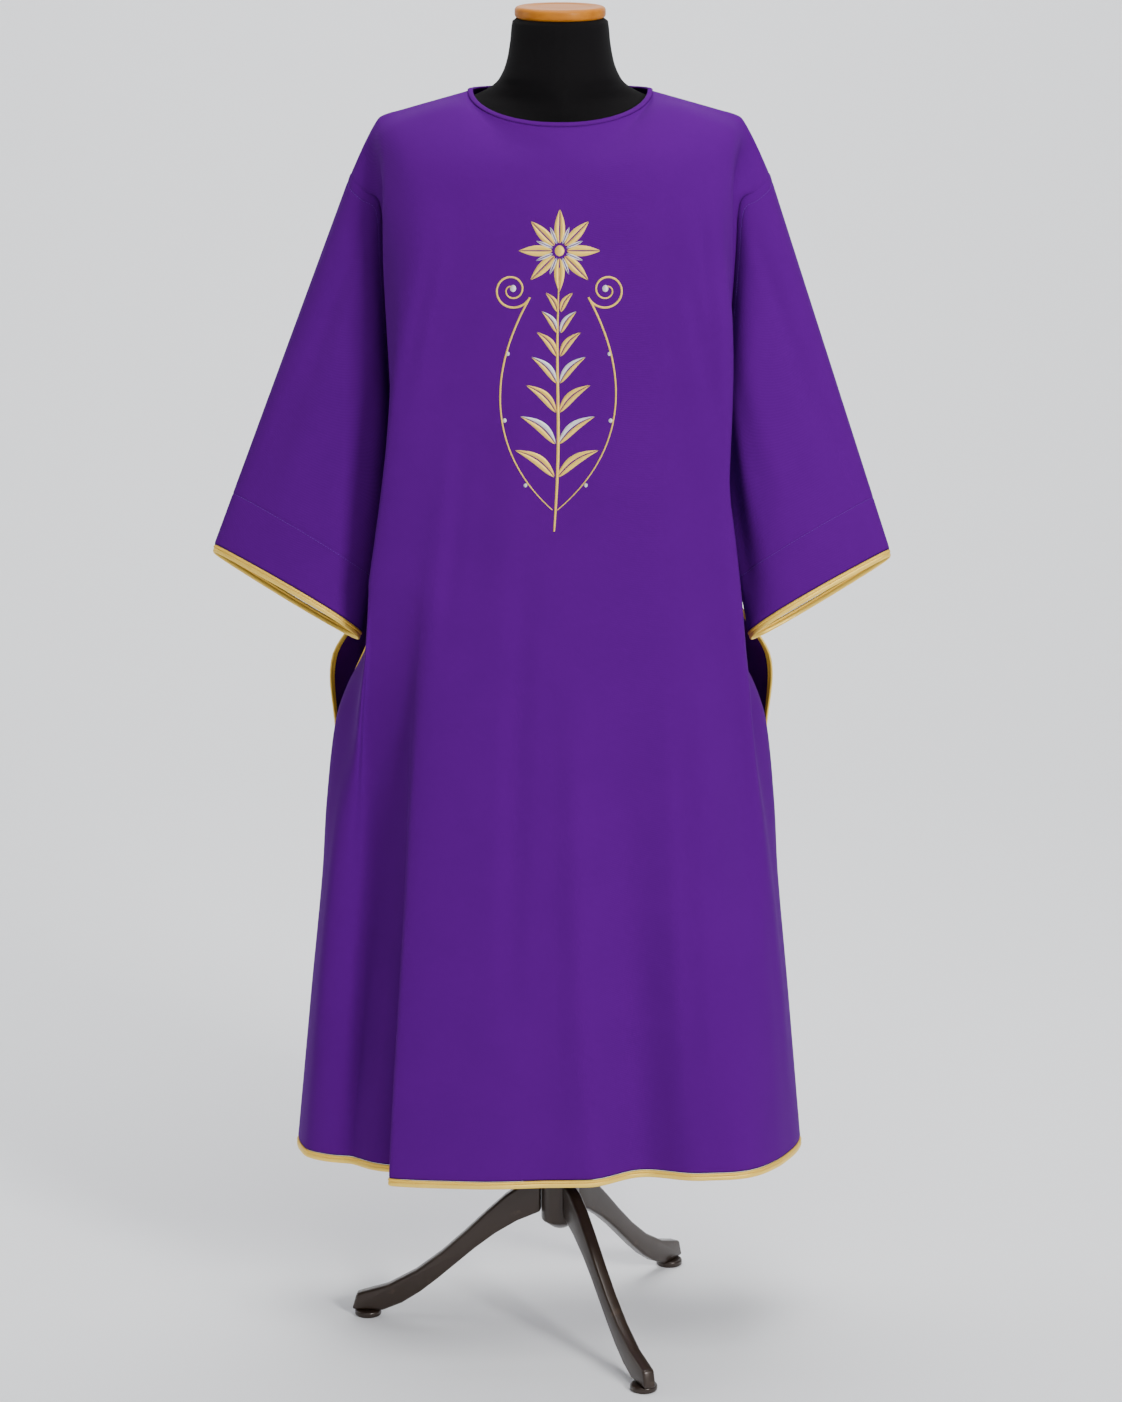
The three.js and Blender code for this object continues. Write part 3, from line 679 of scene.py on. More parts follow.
@dataclass(frozen=True)
class Twill:
    """Soft worsted twill, with fine diagonal wales, faint mottling and a little nap, its colour carrying
    painted shade in the wale valleys and along its seams.
    """

    name: str
    colour: Colour
    mottle_and_shade: Colour
    wale: float = 0.0026
    roughness: float = 0.78
    sheen: float = 0.03

    def build(self) -> bpy.types.Material:
        """The twill's material.

        Returns:
            The material.
        """
        graph = Graph(self.name)
        thread = graph.thread()
        across, along, _ = graph.split(thread)
        wobble = graph.noise(thread, 220, 1) * 1.6
        wales = ((across + along) * (TURN / self.wale) + wobble).wave()
        yarns = graph.noise(graph.stretched(thread, (1600, 140, 1)), 1, 2)
        nap = graph.noise(thread, 900, 2)
        cloudy = graph.noise(graph.placed(), 14, 3)
        # The mottling and nap are the cloth's own uneven tone; the wales add painted shade, darker in each
        # wale's valley.
        tone = graph.blend((cloudy * 0.45 + nap * 0.25 + wales * 0.35).clamped(), self.mottle_and_shade, self.colour)
        # Painted shade: along seams and hems the colour is darkened towards a near-black purple.
        sewn = graph.attribute(SEAM_SHADE_MASK).clamped()
        seam_shadow_colour = tuple(0.3 * part for part in self.mottle_and_shade)
        height = wales * 0.6 + yarns * 0.25 + nap * 0.15
        return graph.finish({
            "Base Color": graph.blend(sewn * 0.85, tone, seam_shadow_colour),
            "Roughness": nap * 0.12 + (self.roughness - 0.06),
            "Specular IOR Level": 0.12,
            "Specular Tint": (0.4, 0.03, 0.9, 1.0),
            "Sheen Weight": self.sheen,
            "Sheen Roughness": 0.5,
            "Sheen Tint": (0.35, 0.03, 0.8, 1.0),
            "Normal": graph.bump(height, 0.00016, 0.5),
        })


@dataclass(frozen=True)
class MetalThread:
    """Shiny wrapped thread laid side by side, as in piping, cord and satin stitch, with painted shade between
    its threads and painted glints in its colour.
    """

    name: str
    colour: Colour
    mottle_and_shade: Colour
    pitch: float = 0.0006
    metallic: float = 0.35
    roughness: float = 0.4

    def build(self) -> bpy.types.Material:
        """The thread's material, with its threads across the piece's own map.

        Returns:
            The material.
        """
        graph = Graph(self.name)
        thread = graph.thread()
        across, along, _ = graph.split(thread)
        lay = ((along + across * 0.35) * (TURN / self.pitch)).wave()
        glint = graph.noise(graph.stretched(thread, (260, 900, 1)), 1, 2)
        patchy = graph.noise(graph.placed(), 60, 2)
        # The patchy tone is the thread's own; the laid threads add painted shade between them, and the glint
        # adds painted glints.
        tone = graph.blend((lay * 0.35 + glint * 0.45 + patchy * 0.3).clamped(), self.mottle_and_shade, self.colour)
        return graph.finish({
            "Base Color": tone,
            "Metallic": self.metallic,
            "Roughness": glint * 0.2 + (self.roughness - 0.1),
            "Specular IOR Level": 0.3,
            "Normal": graph.bump(lay * 0.7 + glint * 0.3, 0.00018, 0.6),
        })


@dataclass(frozen=True)
class Jersey:
    """Black knitted jersey, stretched over a form, with painted shade between its ribs."""

    name: str
    colour: Colour
    mottle_and_shade: Colour
    rib: float = 0.0016

    def build(self) -> bpy.types.Material:
        """The jersey's material, with its ribs upright.

        Returns:
            The material.
        """
        graph = Graph(self.name)
        thread = graph.thread()
        across, along, _ = graph.split(thread)
        ribs = (across * (TURN / self.rib)).wave()
        loops = (along * (TURN / (self.rib * 0.7)) + across * (TURN / self.rib)).wave()
        fluff = graph.noise(graph.placed(), 500, 3)
        return graph.finish({
            # The fluff is the knit's own uneven tone; the ribs add painted shade, darker between them.
            "Base Color": graph.blend((ribs * 0.4 + fluff * 0.6).clamped(), self.mottle_and_shade, self.colour),
            "Roughness": fluff * 0.1 + 0.82,
            "Specular IOR Level": 0.08,
            "Sheen Weight": 0.02,
            "Sheen Roughness": 0.5,
            "Normal": graph.bump(ribs * 0.6 + loops * 0.2 + fluff * 0.2, 0.0002, 0.6),
        })


@dataclass(frozen=True)
class Varnished:
    """Honey-coloured turned wood under gloss varnish."""

    name: str
    colour: Colour
    grain: Colour

    def build(self) -> bpy.types.Material:
        """The wood's material, with its grain along X.

        Returns:
            The material.
        """
        graph = Graph(self.name)
        place = graph.placed()
        figure = graph.noise(graph.stretched(place, (9, 120, 120)), 1, 4)
        pores = graph.noise(graph.stretched(place, (60, 900, 900)), 1, 2)
        tone = graph.blend((figure * 1.5 - 0.25).clamped(), self.grain, self.colour)
        return graph.finish({
            "Base Color": graph.blend((pores * 0.3).clamped(), tone, self.grain),
            "Roughness": pores * 0.1 + 0.4,
            "Specular IOR Level": 0.15,
            "Coat Weight": 0.04,
            "Coat Roughness": 0.1,
            "Normal": graph.bump(pores, 0.00008, 0.3),
        })


@dataclass(frozen=True)
class Lacquered:
    """Dark brown lacquered steel, a little scuffed."""

    name: str
    colour: Colour
    worn: Colour

    def build(self) -> bpy.types.Material:
        """The steel's material.

        Returns:
            The material.
        """
        graph = Graph(self.name)
        place = graph.placed()
        orange_peel = graph.noise(place, 700, 2)
        scuffs = graph.noise(place, 45, 5)
        wear = ((scuffs - 0.62) * 6).clamped()
        return graph.finish({
            "Base Color": graph.blend(wear * 0.6, self.colour, self.worn),
            "Metallic": 0.35,
            "Roughness": scuffs * 0.25 + 0.26,
            "Coat Weight": 0.25,
            "Coat Roughness": 0.2,
            "Normal": graph.bump(orange_peel, 0.00006, 0.4),
        })


@dataclass(frozen=True)
class Plain:
    """A matt, pale studio surface with the faintest unevenness, clear from its back."""

    name: str
    colour: Colour

    def build(self) -> bpy.types.Material:
        """The studio surface's material.

        Returns:
            The material.
        """
        graph = Graph(self.name)
        uneven = graph.noise(graph.placed(), 3, 2)
        second = tuple(0.985 * part for part in self.colour)
        matt = graph.node("ShaderNodeBsdfPrincipled", None, {
            "Base Color": graph.blend(uneven, self.colour, second), "Roughness": 0.85,
        })
        clear = graph.node("ShaderNodeBsdfTransparent")
        behind = graph.node("ShaderNodeNewGeometry").outputs["Backfacing"]
        either = graph.node("ShaderNodeMixShader", None, {0: behind, 1: matt.outputs[0], 2: clear.outputs[0]})
        graph.node("ShaderNodeOutputMaterial", None, {"Surface": either.outputs[0]})
        return graph.material


PURPLE = Twill("purple_twill", (0.084, 0.0002, 0.18), (0.062, 0.0001, 0.14))
BINDING = Twill("binding_twill", (0.082, 0.0008, 0.172), (0.062, 0.0006, 0.132), wale=0.0012)
PURPLE_THREAD = MetalThread(
    "purple_thread", (0.15, 0.03, 0.36), (0.06, 0.008, 0.17), metallic=0.0, roughness=0.6,
)
GOLD_CORD = MetalThread("gold_cord", (1.0, 0.66, 0.1), (0.7, 0.4, 0.03), pitch=0.0008)
GOLD_SATIN = MetalThread("gold_satin", (1.0, 0.7, 0.13), (0.8, 0.5, 0.06), pitch=0.0012, roughness=0.36)
GOLD_STITCH = MetalThread("gold_stitch", (1.0, 0.7, 0.14), (0.72, 0.44, 0.045), pitch=0.0011)
SILVER_STITCH = MetalThread("silver_stitch", (0.82, 0.82, 0.85), (0.5, 0.49, 0.52), pitch=0.0011)
JERSEY = Jersey("black_jersey_knit", (0.006, 0.0052, 0.006), (0.002, 0.002, 0.002))
WOOD = Varnished("honey_varnished_wood", (0.55, 0.2, 0.012), (0.34, 0.1, 0.006))
STEEL = Lacquered("dark_lacquered_steel", (0.028, 0.016, 0.01), (0.09, 0.055, 0.035))
STUDIO = Plain("studio_paper", (0.93, 0.94, 0.96))


# --------------------------------------------------------------------------------------------
# Meshes of cloth, band and stitch
# --------------------------------------------------------------------------------------------


@dataclass
class Parts:
    """Points, faces, thread maps and painted seam shade gathered into one piece, in millimetres of the cut.
    """

    points: list[Array] = field(default_factory=list)
    faces: list[tuple[int, ...]] = field(default_factory=list)
    maps: list[Array] = field(default_factory=list)
    slots: list[int] = field(default_factory=list)
    seam_shades: list[Array] = field(default_factory=list)
    count: int = 0

    def _take(self, points: Array, faces: list[tuple[int, ...]], maps: Array, slot: int, seam_shade: Array) -> None:
        """Adds points and faces that count from 0, with a map place for each corner.

        Args:
            points: the new points.
            faces: their faces.
            maps: a thread map place for each corner.
            slot: the number of their finish.
            seam_shade: how much painted shade darkens each point along a seam.
        """
        self.points.append(points)
        self.faces += [tuple(self.count + corner for corner in face) for face in faces]
        self.maps.append(maps)
        self.slots += [slot] * len(faces)
        self.seam_shades.append(seam_shade)
        self.count += len(points)

    def shell(self, grid: Array, normals: Array, maps: Array, seam_shade: Array, closed: bool) -> None:
        """Adds a wall of cloth between a grid and its copy behind it, with rims at its ends.

        Args:
            grid: rows by columns of points of the outer face.
            normals: the outward normal of each point.
            maps: the thread map of each point, in metres.
            seam_shade: how much painted shade darkens each point along a seam, 0 to 1.
            closed: whether the last column is the first one again.
        """
        rows, columns = grid.shape[:2]
        own = columns - 1 if closed else columns
        raw = np.arange(rows * columns).reshape(rows, columns)
        vertex = (np.arange(rows)[:, None] * own + np.arange(columns)[None] % own).ravel()
        vertex = np.concatenate([vertex, vertex + rows * own])
        back = raw + rows * columns
        quads = [
            quad_strip(raw[:-1, :-1], raw[1:, :-1], raw[1:, 1:], raw[:-1, 1:]),
            quad_strip(back[:-1, :-1], back[:-1, 1:], back[1:, 1:], back[1:, :-1]),
            quad_strip(raw[0, :-1], raw[0, 1:], back[0, 1:], back[0, :-1]),
            quad_strip(raw[-1, :-1], back[-1, :-1], back[-1, 1:], raw[-1, 1:]),
        ]
        if not closed:
            quads.append(quad_strip(raw[:-1, 0], back[:-1, 0], back[1:, 0], raw[1:, 0]))
            quads.append(quad_strip(raw[:-1, -1], raw[1:, -1], back[1:, -1], back[:-1, -1]))
        corners = np.concatenate(quads)
        inner = grid - normals * CLOTH
        points = np.concatenate([grid[:, :own].reshape(-1, 3), inner[:, :own].reshape(-1, 3)])
        seam_shades = np.tile(seam_shade[:, :own].ravel(), 2)
        maps = np.tile(maps.reshape(-1, 2), (2, 1))[corners.ravel()]
        self._take(points, [tuple(face) for face in vertex[corners].tolist()], maps, 0, seam_shades)

    def rings(self, rings: Array, maps: Array, closed: bool, slot: int = 0) -> None:
        """Adds a solid through rings of points.

        Args:
            rings: rings by sides of points.
            maps: rings by sides + 1 of thread map places, in metres.
            closed: whether the last ring meets the first, as in a loop.
            slot: the number of the piece's finish.
        """
        count, sides = rings.shape[:2]
        lengths = count if closed else count - 1
        start = np.arange(lengths)[:, None]
        side = np.arange(sides)[None]
        nexts, around = (start + 1) % count, (side + 1) % sides
        corners = [start * sides + side, nexts * sides + side, nexts * sides + around, start * sides + around]
        faces = quad_strip(*corners)
        width = sides + 1
        places = [start * width + side, (start + 1) * width + side,
                  (start + 1) * width + side + 1, start * width + side + 1]
        if closed:
            step = maps[-1:] - maps[-2:-1]
            maps = np.concatenate([maps, maps[-1:] + step])
        flat = maps.reshape(-1, 2)
        corner_maps = [flat[quad_strip(*places).ravel()]]
        faces = [tuple(face) for face in faces.tolist()]
        if not closed:
            last = (count - 1) * sides
            faces += [tuple(range(sides - 1, -1, -1)), tuple(range(last, last + sides))]
            corner_maps += [flat[:sides][::-1], flat[-width:-1]]
        points = rings.reshape(-1, 3)
        self._take(points, faces, np.concatenate(corner_maps), slot, np.zeros(len(points)))

    def build(
        self, name: str, finishes: Sequence[bpy.types.Material], sharp: float = 50.0,
    ) -> bpy.types.Object:
        """Makes the piece.

        Args:
            name: the piece's name.
            finishes: a material for each slot.
            sharp: edges that turn by more degrees than this stay sharp.

        Returns:
            The piece, with its faces outwards.
        """
        mesh = bpy.data.meshes.new(name)
        points = to_row(np.concatenate(self.points))
        maps = np.concatenate(self.maps)
        mesh.from_pydata(points.tolist(), [], self.faces)
        mesh.uv_layers.new(name=THREAD_MAP).data.foreach_set("uv", maps.ravel())
        seam_shade = mesh.attributes.new(SEAM_SHADE_MASK, "FLOAT", "POINT")
        seam_shade.data.foreach_set("value", np.concatenate(self.seam_shades))
        mesh.polygons.foreach_set("material_index", self.slots)
        for finish in finishes:
            mesh.materials.append(finish)
        mesh.validate()
        piece = bpy.data.objects.new(name, mesh)
        bpy.context.scene.collection.objects.link(piece)
        face_outwards(piece)
        smooth(piece, sharp)
        return piece


def quad_strip(*corners: Array) -> Array:
    """Four arrays of corners made into one row for each face."""
    return np.stack(np.broadcast_arrays(*corners), axis=-1).reshape(-1, 4)


def face_outwards(piece: bpy.types.Object) -> None:
    """Turns a piece's faces round if they enclose a negative volume.

    Args:
        piece: a closed piece.
    """
    work = bmesh.new()
    work.from_mesh(piece.data)
    if work.calc_volume(signed=True) < 0:
        bmesh.ops.reverse_faces(work, faces=work.faces)
        work.to_mesh(piece.data)
    work.free()


def choose(*pieces: bpy.types.Object) -> None:
    """Selects only these pieces, the first of them active.

    Args:
        pieces: the objects to select.
    """
    if bpy.context.mode != "OBJECT":
        bpy.ops.object.mode_set(mode="OBJECT")
    bpy.ops.object.select_all(action="DESELECT")
    for piece in pieces:
        piece.select_set(True)
    bpy.context.view_layer.objects.active = pieces[0]


def smooth(piece: bpy.types.Object, sharp: float) -> None:
    """Shades a piece smooth, apart from edges that turn by more than some degrees."""
    choose(piece)
    bpy.ops.object.shade_smooth_by_angle(angle=math.radians(sharp))


def squared(turning: Array, power: float) -> Array:
    """A cosine or sine raised to a power with its sign kept, which squares off a round section."""
    return np.sign(turning) * np.abs(turning) ** power


def lengths_along(points: Array, axis: int) -> Array:
    """Distance along a grid or path of points from its start, in the same shape."""
    steps = np.linalg.norm(np.diff(points, axis=axis), axis=-1)
    return np.concatenate([np.zeros_like(steps.take([0], axis=axis)), np.cumsum(steps, axis=axis)], axis=axis)


def thinned(kept: Iterable[float], others: Iterable[float], gap: float) -> Array:
    """Sorted places: all those kept, and the others that lie further than a gap from them.

    Args:
        kept: places that always stay.
        others: places that may be dropped.
        gap: the least distance from a kept place.

    Returns:
        The places in rising order.
    """
    kept = np.unique(np.round(list(kept), 6))
    others = [place for place in others if np.abs(kept - place).min() > gap]
    return np.sort(np.concatenate([kept, others]))


def groove(distance: Array, depth: float, half: float) -> Array:
    """The depth of a soft groove at a distance from its middle, as a negative number."""
    return -depth * np.exp(-((distance / half) ** 2))


# --------------------------------------------------------------------------------------------
# The garment
# --------------------------------------------------------------------------------------------

EDGE_STEPS = (0.0, 0.8, 1.6, 2.4, 3.4, 5.0, 7.5)
ROLL_DEPTH, ROLL_HALF = 0.8, 1.8
# How deep the armhole seam's groove is, and how much fainter the painted shade is along it.
ARM_SEAM_DEPTH, ARM_SEAM_SHADE_FADE = 0.3, 2.3
# How wide the shade painted along a seam is, how far above the head of the side piping its groove goes on,
# and a distance past the reach of any seam.
SHADE_HALF, PIPED_OVER, FAR = 1.5, 5.0, 99.0
# The width of a millimetre at the sides, in u.
EDGE_U = 0.0031
ARM_TOP, ARM_MIDDLE = 24, 26


@dataclass
class PanelCloth:
    """One panel of the garment as a fine shell of cloth, with its sewn edges rolled in."""

    name: str
    panel: Panel
    across: int
    flat: tuple[float, float]
    area: float
    crowded: tuple[float, float, int] | None = None
    row_gap: float = 9.0
    grid: Array = field(init=False)
    normals: Array = field(init=False)
    columns: Array = field(init=False)
    rows: Array = field(init=False)

    def __post_init__(self) -> None:
        """Works out the surface on its columns and rows."""
        edge = 1 - np.array(EDGE_STEPS) * EDGE_U
        kept = np.concatenate([edge, -edge, [-NECK_AT, NECK_AT]])
        if self.crowded:
            kept = np.concatenate([kept, np.linspace(*self.crowded)])
        self.columns = thinned(kept, np.linspace(-0.98, 0.98, self.across), 0.004)
        hem = CLOTH_END_Z + np.array(EDGE_STEPS)
        top = TOP_Z - np.array([0, 1, 2, 3.5, 5, 7, 9.5])
        kept = np.concatenate([hem, top, [UNDERARM_Z, PIPED_Z]])
        yoke = np.arange(TOP_Z - 12, YOKE_Z, -2.8)
        below = np.arange(YOKE_Z, CLOTH_END_Z, -self.row_gap)
        self.rows = thinned(kept, np.concatenate([yoke, below]), 1.0)[::-1]
        self.grid, self.normals = self.panel.surface(self.columns, self.rows)

    def _edge_distances(self) -> tuple[Array, Array, Array]:
        """Distances of every point from the side edges, the hem and the top edge, in millimetres.

        Returns:
            Distances from the sides, the hem and the top.
        """
        across = lengths_along(self.grid, 1)
        side = np.minimum(across, across[:, -1:] - across)
        down = lengths_along(self.grid, 0)
        return side, down[-1:] - down, down

    def maps(self) -> Array:
        """The thread map in metres: across from the middle line, and down from the top edge.

        Returns:
            A map place for each point.
        """
        across = lengths_along(self.grid, 1)
        middle = np.array([np.interp(0.0, self.columns, row) for row in across])
        return np.stack([across - middle[:, None], -lengths_along(self.grid, 0)], axis=-1) * MM

    def build(self) -> bpy.types.Object:
        """Returns:
            The panel.
        """
        side, hem, top = self._edge_distances()
        open_side = np.where(self.rows[:, None] < PIPED_Z + PIPED_OVER, side, FAR)
        depth = groove(np.minimum(np.minimum(open_side, hem), top), ROLL_DEPTH, ROLL_HALF)
        depth += groove(np.where(open_side < FAR, FAR, side), ARM_SEAM_DEPTH, ROLL_HALF)
        # Painted shade along the piped sides and the hem, and fainter along the armhole seam.
        piped = np.minimum(open_side, hem)
        seam_shade = np.exp(-((np.minimum(piped, side + ARM_SEAM_SHADE_FADE) / SHADE_HALF) ** 2))
        parts = Parts()
        parts.shell(self.grid + self.normals * depth[..., None], self.normals, self.maps(), seam_shade, False)
        piece = parts.build(self.name + "_cloth", [PURPLE.build()])
        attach(piece, "root")
        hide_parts(self.name)
        return piece

    def edge(self, hand: Hand) -> Array:
        """The armhole edge from the shoulder line to the underarm, as points.

        Args:
            hand: -1 for the edge at u = -1 and 1 for the edge at u = 1.

        Returns:
            The points, from the top down.
        """
        top, middle = np.linspace(TOP_Z, 1440, ARM_TOP), np.linspace(1430, UNDERARM_Z, ARM_MIDDLE)
        heights = np.concatenate([top, middle])
        return self.panel.points(np.full(len(heights), float(hand.value)), heights)

    def border(self) -> tuple[Array, Array, Array]:
        """The piped border: down one open side, round the corner, along the hem and up the other.

        Returns:
            Points of the edge, outward normals, and directions away from the cloth.
        """
        piped = np.where(self.rows <= PIPED_Z)[0]
        beside = [self._away(self.grid[:, j], self.grid[:, inside], self.normals[:, j])
                  for j, inside in ((0, 3), (-1, -4))]
        below = self._away(self.grid[-1], self.grid[-4], self.normals[-1])
        runs = [(self.grid[piped, 0], self.normals[piped, 0], beside[0][piped])]
        runs.append(self._corner(0, beside[0][-1], below[0]))
        runs.append((self.grid[-1], self.normals[-1], below))
        runs.append(self._corner(-1, below[-1], beside[1][-1]))
        back = piped[::-1]
        runs.append((self.grid[back, -1], self.normals[back, -1], beside[1][back]))
        return tuple(np.concatenate(part) for part in zip(*runs))

    @staticmethod
    def _away(edge: Array, inside: Array, normals: Array) -> Array:
        """Directions along the cloth from points inside its edge to points on it."""
        away = edge - inside
        return unit(away - normals * np.sum(away * normals, axis=-1, keepdims=True))

    def _corner(self, column: int, start: Array, end: Array) -> tuple[Array, Array, Array]:
        """A fan of directions round one corner of the hem.

        Args:
            column: the column at the corner.
            start: the direction that the fan starts from.
            end: the direction that it ends at.

        Returns:
            Points, normals and directions.
        """
        share = np.linspace(0, 1, 11)[1:-1, None]
        fan = unit(start * (1 - share) + end * share)
        return np.tile(self.grid[-1, column], (9, 1)), np.tile(self.normals[-1, column], (9, 1)), fan


# How full a sleeve stands between its armhole, at t = 0, and its cuff, at t = 1.
SWELL = table(("t", "share"), [(0, 0), (0.08, 0.6), (0.2, 0.9), (0.5, 1), (1, 1)])
# Distances of the rows next to the armhole, and of the rows next to the cuff, from those edges.
HEAD_ROWS = (0, 0.8, 1.6, 2.4, 3.6, 5.5, 8, 9.5, 10.3, 11, 11.7, 12.5, 14, 17)
FOOT_ROWS = (78, 74, 71, 69, 68, 67.4, 66.6, 66, 65, 63, 59, 53, 47, 41, 35, 29, 23, 17, 12, 8,
             5.5, 3.6, 2.4, 1.6, 0.8, 0)
MIDDLE_ROWS = 47


@dataclass
class SleeveCloth:
    """A straight sleeve from the dropped armhole to its slanting cuff."""

    name: str
    hand: Hand
    front: PanelCloth
    back: PanelCloth
    creases: Sequence[Sequence[float]]
    flat: tuple[float, float] = (0.72, 0.49)
    area: float = 0.168
    fullness: tuple[float, float] = (46.0, 50.0)
    shear: float = 0.4
    tuck: float = 6.0
    last_share: float = 0.96
    ridge_full: float = 0.5
    cuff_outer: tuple[float, float, float, float] = (413.0, -5.0, -20.0, 1021.0)
    cuff_inner: tuple[float, float, float, float] = (236.0, -1.5, -36.0, 915.0)
    left_lower: float = 6.0
    stitch_row: float = 11.0
    hem_deep: float = 67.0
    grid: Array = field(init=False)
    normals: Array = field(init=False)
    head_row: int = field(init=False)
    hem_row: int = field(init=False)

    def __post_init__(self) -> None:
        """Works out the surface from the armhole to the cuff."""
        start, share, side = self._armhole()
        w = (1 - np.cos(np.pi * share)) / 2
        left = self.hand is Hand.LEFT
        cuff_x, cuff_lean, cuff_y, cuff_z = (
            outer + (inner - outer) * w for outer, inner in zip(self.cuff_outer, self.cuff_inner))
        cuff_z = cuff_z - (self.left_lower * (1 - w) if left else 0)
        end = np.stack([self.hand.value * cuff_x + cuff_lean, cuff_y, cuff_z], axis=-1)
        t = self._down(np.linalg.norm(end - start, axis=1))
        full = curve(SWELL["t"], SWELL["share"], t.ravel()).reshape(t.shape)
        reach = np.where(side < 0, self.fullness[0], self.fullness[1])
        swell = self.ridge_full + (1 - self.ridge_full) * w
        out = side * full * np.sin(np.pi * share) * swell * reach
        tuck = -self.hand.value * self.tuck * w * np.sin(np.pi * t) ** 2
        grid = start + (end - start) * t[..., None]
        grid = grid + np.stack([tuck, out, -out * self.shear * t], axis=-1)
        around = share * side
        around[0], around[-1] = -1.0, 1.0
        normals = self._outward(grid)
        depth = self._crease_depth(around, t)
        length = lengths_along(grid, 0)
        depth += groove(length, ARM_SEAM_DEPTH, ROLL_HALF) + groove(length - self.stitch_row, 0.45, 1.0)
        to_cuff = length[-1:] - length
        depth += groove(to_cuff, ROLL_DEPTH, ROLL_HALF) + groove(to_cuff - self.hem_deep, 0.55, 1.1)
        # Painted shade along the cuff, and fainter along the armhole seam.
        self.seam_shade = np.exp(-((np.minimum(length + ARM_SEAM_SHADE_FADE, to_cuff) / SHADE_HALF) ** 2))
        self.grid = grid + normals * depth[..., None]
        self.normals = self._outward(self.grid)

    def _armhole(self) -> tuple[Array, Array, Array]:
        """The armhole as a ring from the underarm over the front and the ridge to the underarm.

        Returns:
            Points, shares of the way from ridge to underarm, and sides: -1 front, 1 back, 0 between.
        """
        fore, hind = self.front.edge(self.hand), self.back.edge(self.hand)
        shares = lengths_along(fore, 0) / lengths_along(fore, 0)[-1] * self.last_share
        ridge, under = (fore[0] + hind[0]) / 2, (fore[-1] + hind[-1]) / 2
        under_fill = np.array([0.35, 0.7])[:, None]

        def half(edge: Array, side: int) -> tuple[Array, Array, Array]:
            """One side from below the ridge to just short of the underarm.

            Args:
                edge: the panel's armhole edge.
                side: -1 for the front and 1 for the back.

            Returns:
                Points, shares and sides.
            """
            points = np.vstack([edge[1:], edge[-1] + (under - edge[-1]) * under_fill])
            to_under = self.last_share + (1 - self.last_share) * under_fill[:, 0]
            return points, np.concatenate([shares[1:], to_under]), np.full(len(points), float(side))

        first, second = half(fore, -1), half(hind, 1)
        points = np.vstack([under, first[0][::-1], ridge, second[0], under])
        share = np.concatenate([[1], first[1][::-1], [0], second[1], [1]])
        side = np.concatenate([[0], first[2], [0], second[2], [0]])
        return points, share, side

    def _down(self, length: Array) -> Array:
        """Shares of the way to the cuff, with rows at set distances from both ends.

        Args:
            length: how long the sleeve is at each place round it.

        Returns:
            Shares, rows by places.
        """
        head, foot = np.array(HEAD_ROWS), np.array(FOOT_ROWS)
        stitched = FOOT_ROWS.index(67.4)
        self.head_row, self.hem_row = HEAD_ROWS.index(11), len(head) + MIDDLE_ROWS + stitched
        near, far = head[:, None] / length, 1 - foot[:, None] / length
        middle = near[-1] + (far[0] - near[-1]) * np.linspace(0, 1, MIDDLE_ROWS + 2)[1:-1, None]
        return np.vstack([near, middle, far])

    def _outward(self, grid: Array) -> Array:
        """Normals that point away from the middle of each ring.

        Args:
            grid: rows by columns of points.

        Returns:
            A normal for each point.
        """
        normals = grid_normals(grid, True)
        away = grid - grid[:, :-1].mean(axis=1, keepdims=True)
        return normals * math.copysign(1.0, float(np.sum(normals * away)))

    def _crease_depth(self, around: Array, t: Array) -> Array:
        """How far the soft creases move the cloth outwards.

        Args:
            around: places round the sleeve, from -1 to 1.
            t: shares of the way to the cuff.

        Returns:
            Millimetres outwards for each point.
        """
        depth = np.zeros(t.shape)
        for head, foot, high, low, deep, half in self.creases:
            along = np.clip((t - high) / (low - high), 0, 1)
            away = np.abs(around[None] - (head + (foot - head) * along)) / half
            bump = np.where(away < 1, np.cos(np.pi / 2 * away) ** 2, 0)
            depth += deep * bump * np.sin(np.pi * along) ** CREASE_SWELL
        return depth

    def maps(self) -> Array:
        """The thread map in metres: round from the ridge, and down from the armhole.

        Returns:
            A map place for each point.
        """
        around = lengths_along(self.grid, 1)
        ridge = around[:, around.shape[1] // 2][:, None]
        return np.stack([around - ridge, -lengths_along(self.grid, 0)], axis=-1) * MM

    def build(self) -> bpy.types.Object:
        """Makes and rides the sleeve.

        Returns:
            The sleeve.
        """
        parts = Parts()
        parts.shell(self.grid, self.normals, self.maps(), self.seam_shade, True)
        piece = parts.build(self.name + "_cloth", [PURPLE.build()], 60)
        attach(piece, "root")
        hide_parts(self.name)
        return piece

    def border(self) -> tuple[Array, Array, Array]:
        """The cuff's edge as a loop: points, normals, and directions away from the cloth.

        Returns:
            Points, normals and directions.
        """
        edge, normals = self.grid[-1, :-1], self.normals[-1, :-1]
        away = edge - self.grid[-5, :-1]
        away = unit(away - normals * np.sum(away * normals, axis=-1, keepdims=True))
        return edge, normals, away


def evenly(path: Array, others: Sequence[Array], gap: float, closed: bool) -> tuple[Array, list[Array]]:
    """Places at even distances along a path.

    Args:
        path: its points.
        others: directions at those points, carried along.
        gap: the distance wanted between places.
        closed: whether the path is a loop.

    Returns:
        The distances, then the points and directions there.
    """
    if closed:
        path = np.vstack([path, path[:1]])
        others = [np.vstack([other, other[:1]]) for other in others]
    run = lengths_along(path, 0)
    count = max(int(round(run[-1] / gap)), 3)
    at = np.linspace(0, run[-1], count + 1)
    at = at[:-1] if closed else at
    keep = np.concatenate([[True], np.diff(run) > 1e-6])
    rows = []
    for values in (path, *others):
        rows.append(np.stack([np.interp(at, run[keep], values[keep, k]) for k in range(3)], axis=-1))
    return at, [rows[0]] + [unit(row) for row in rows[1:]]


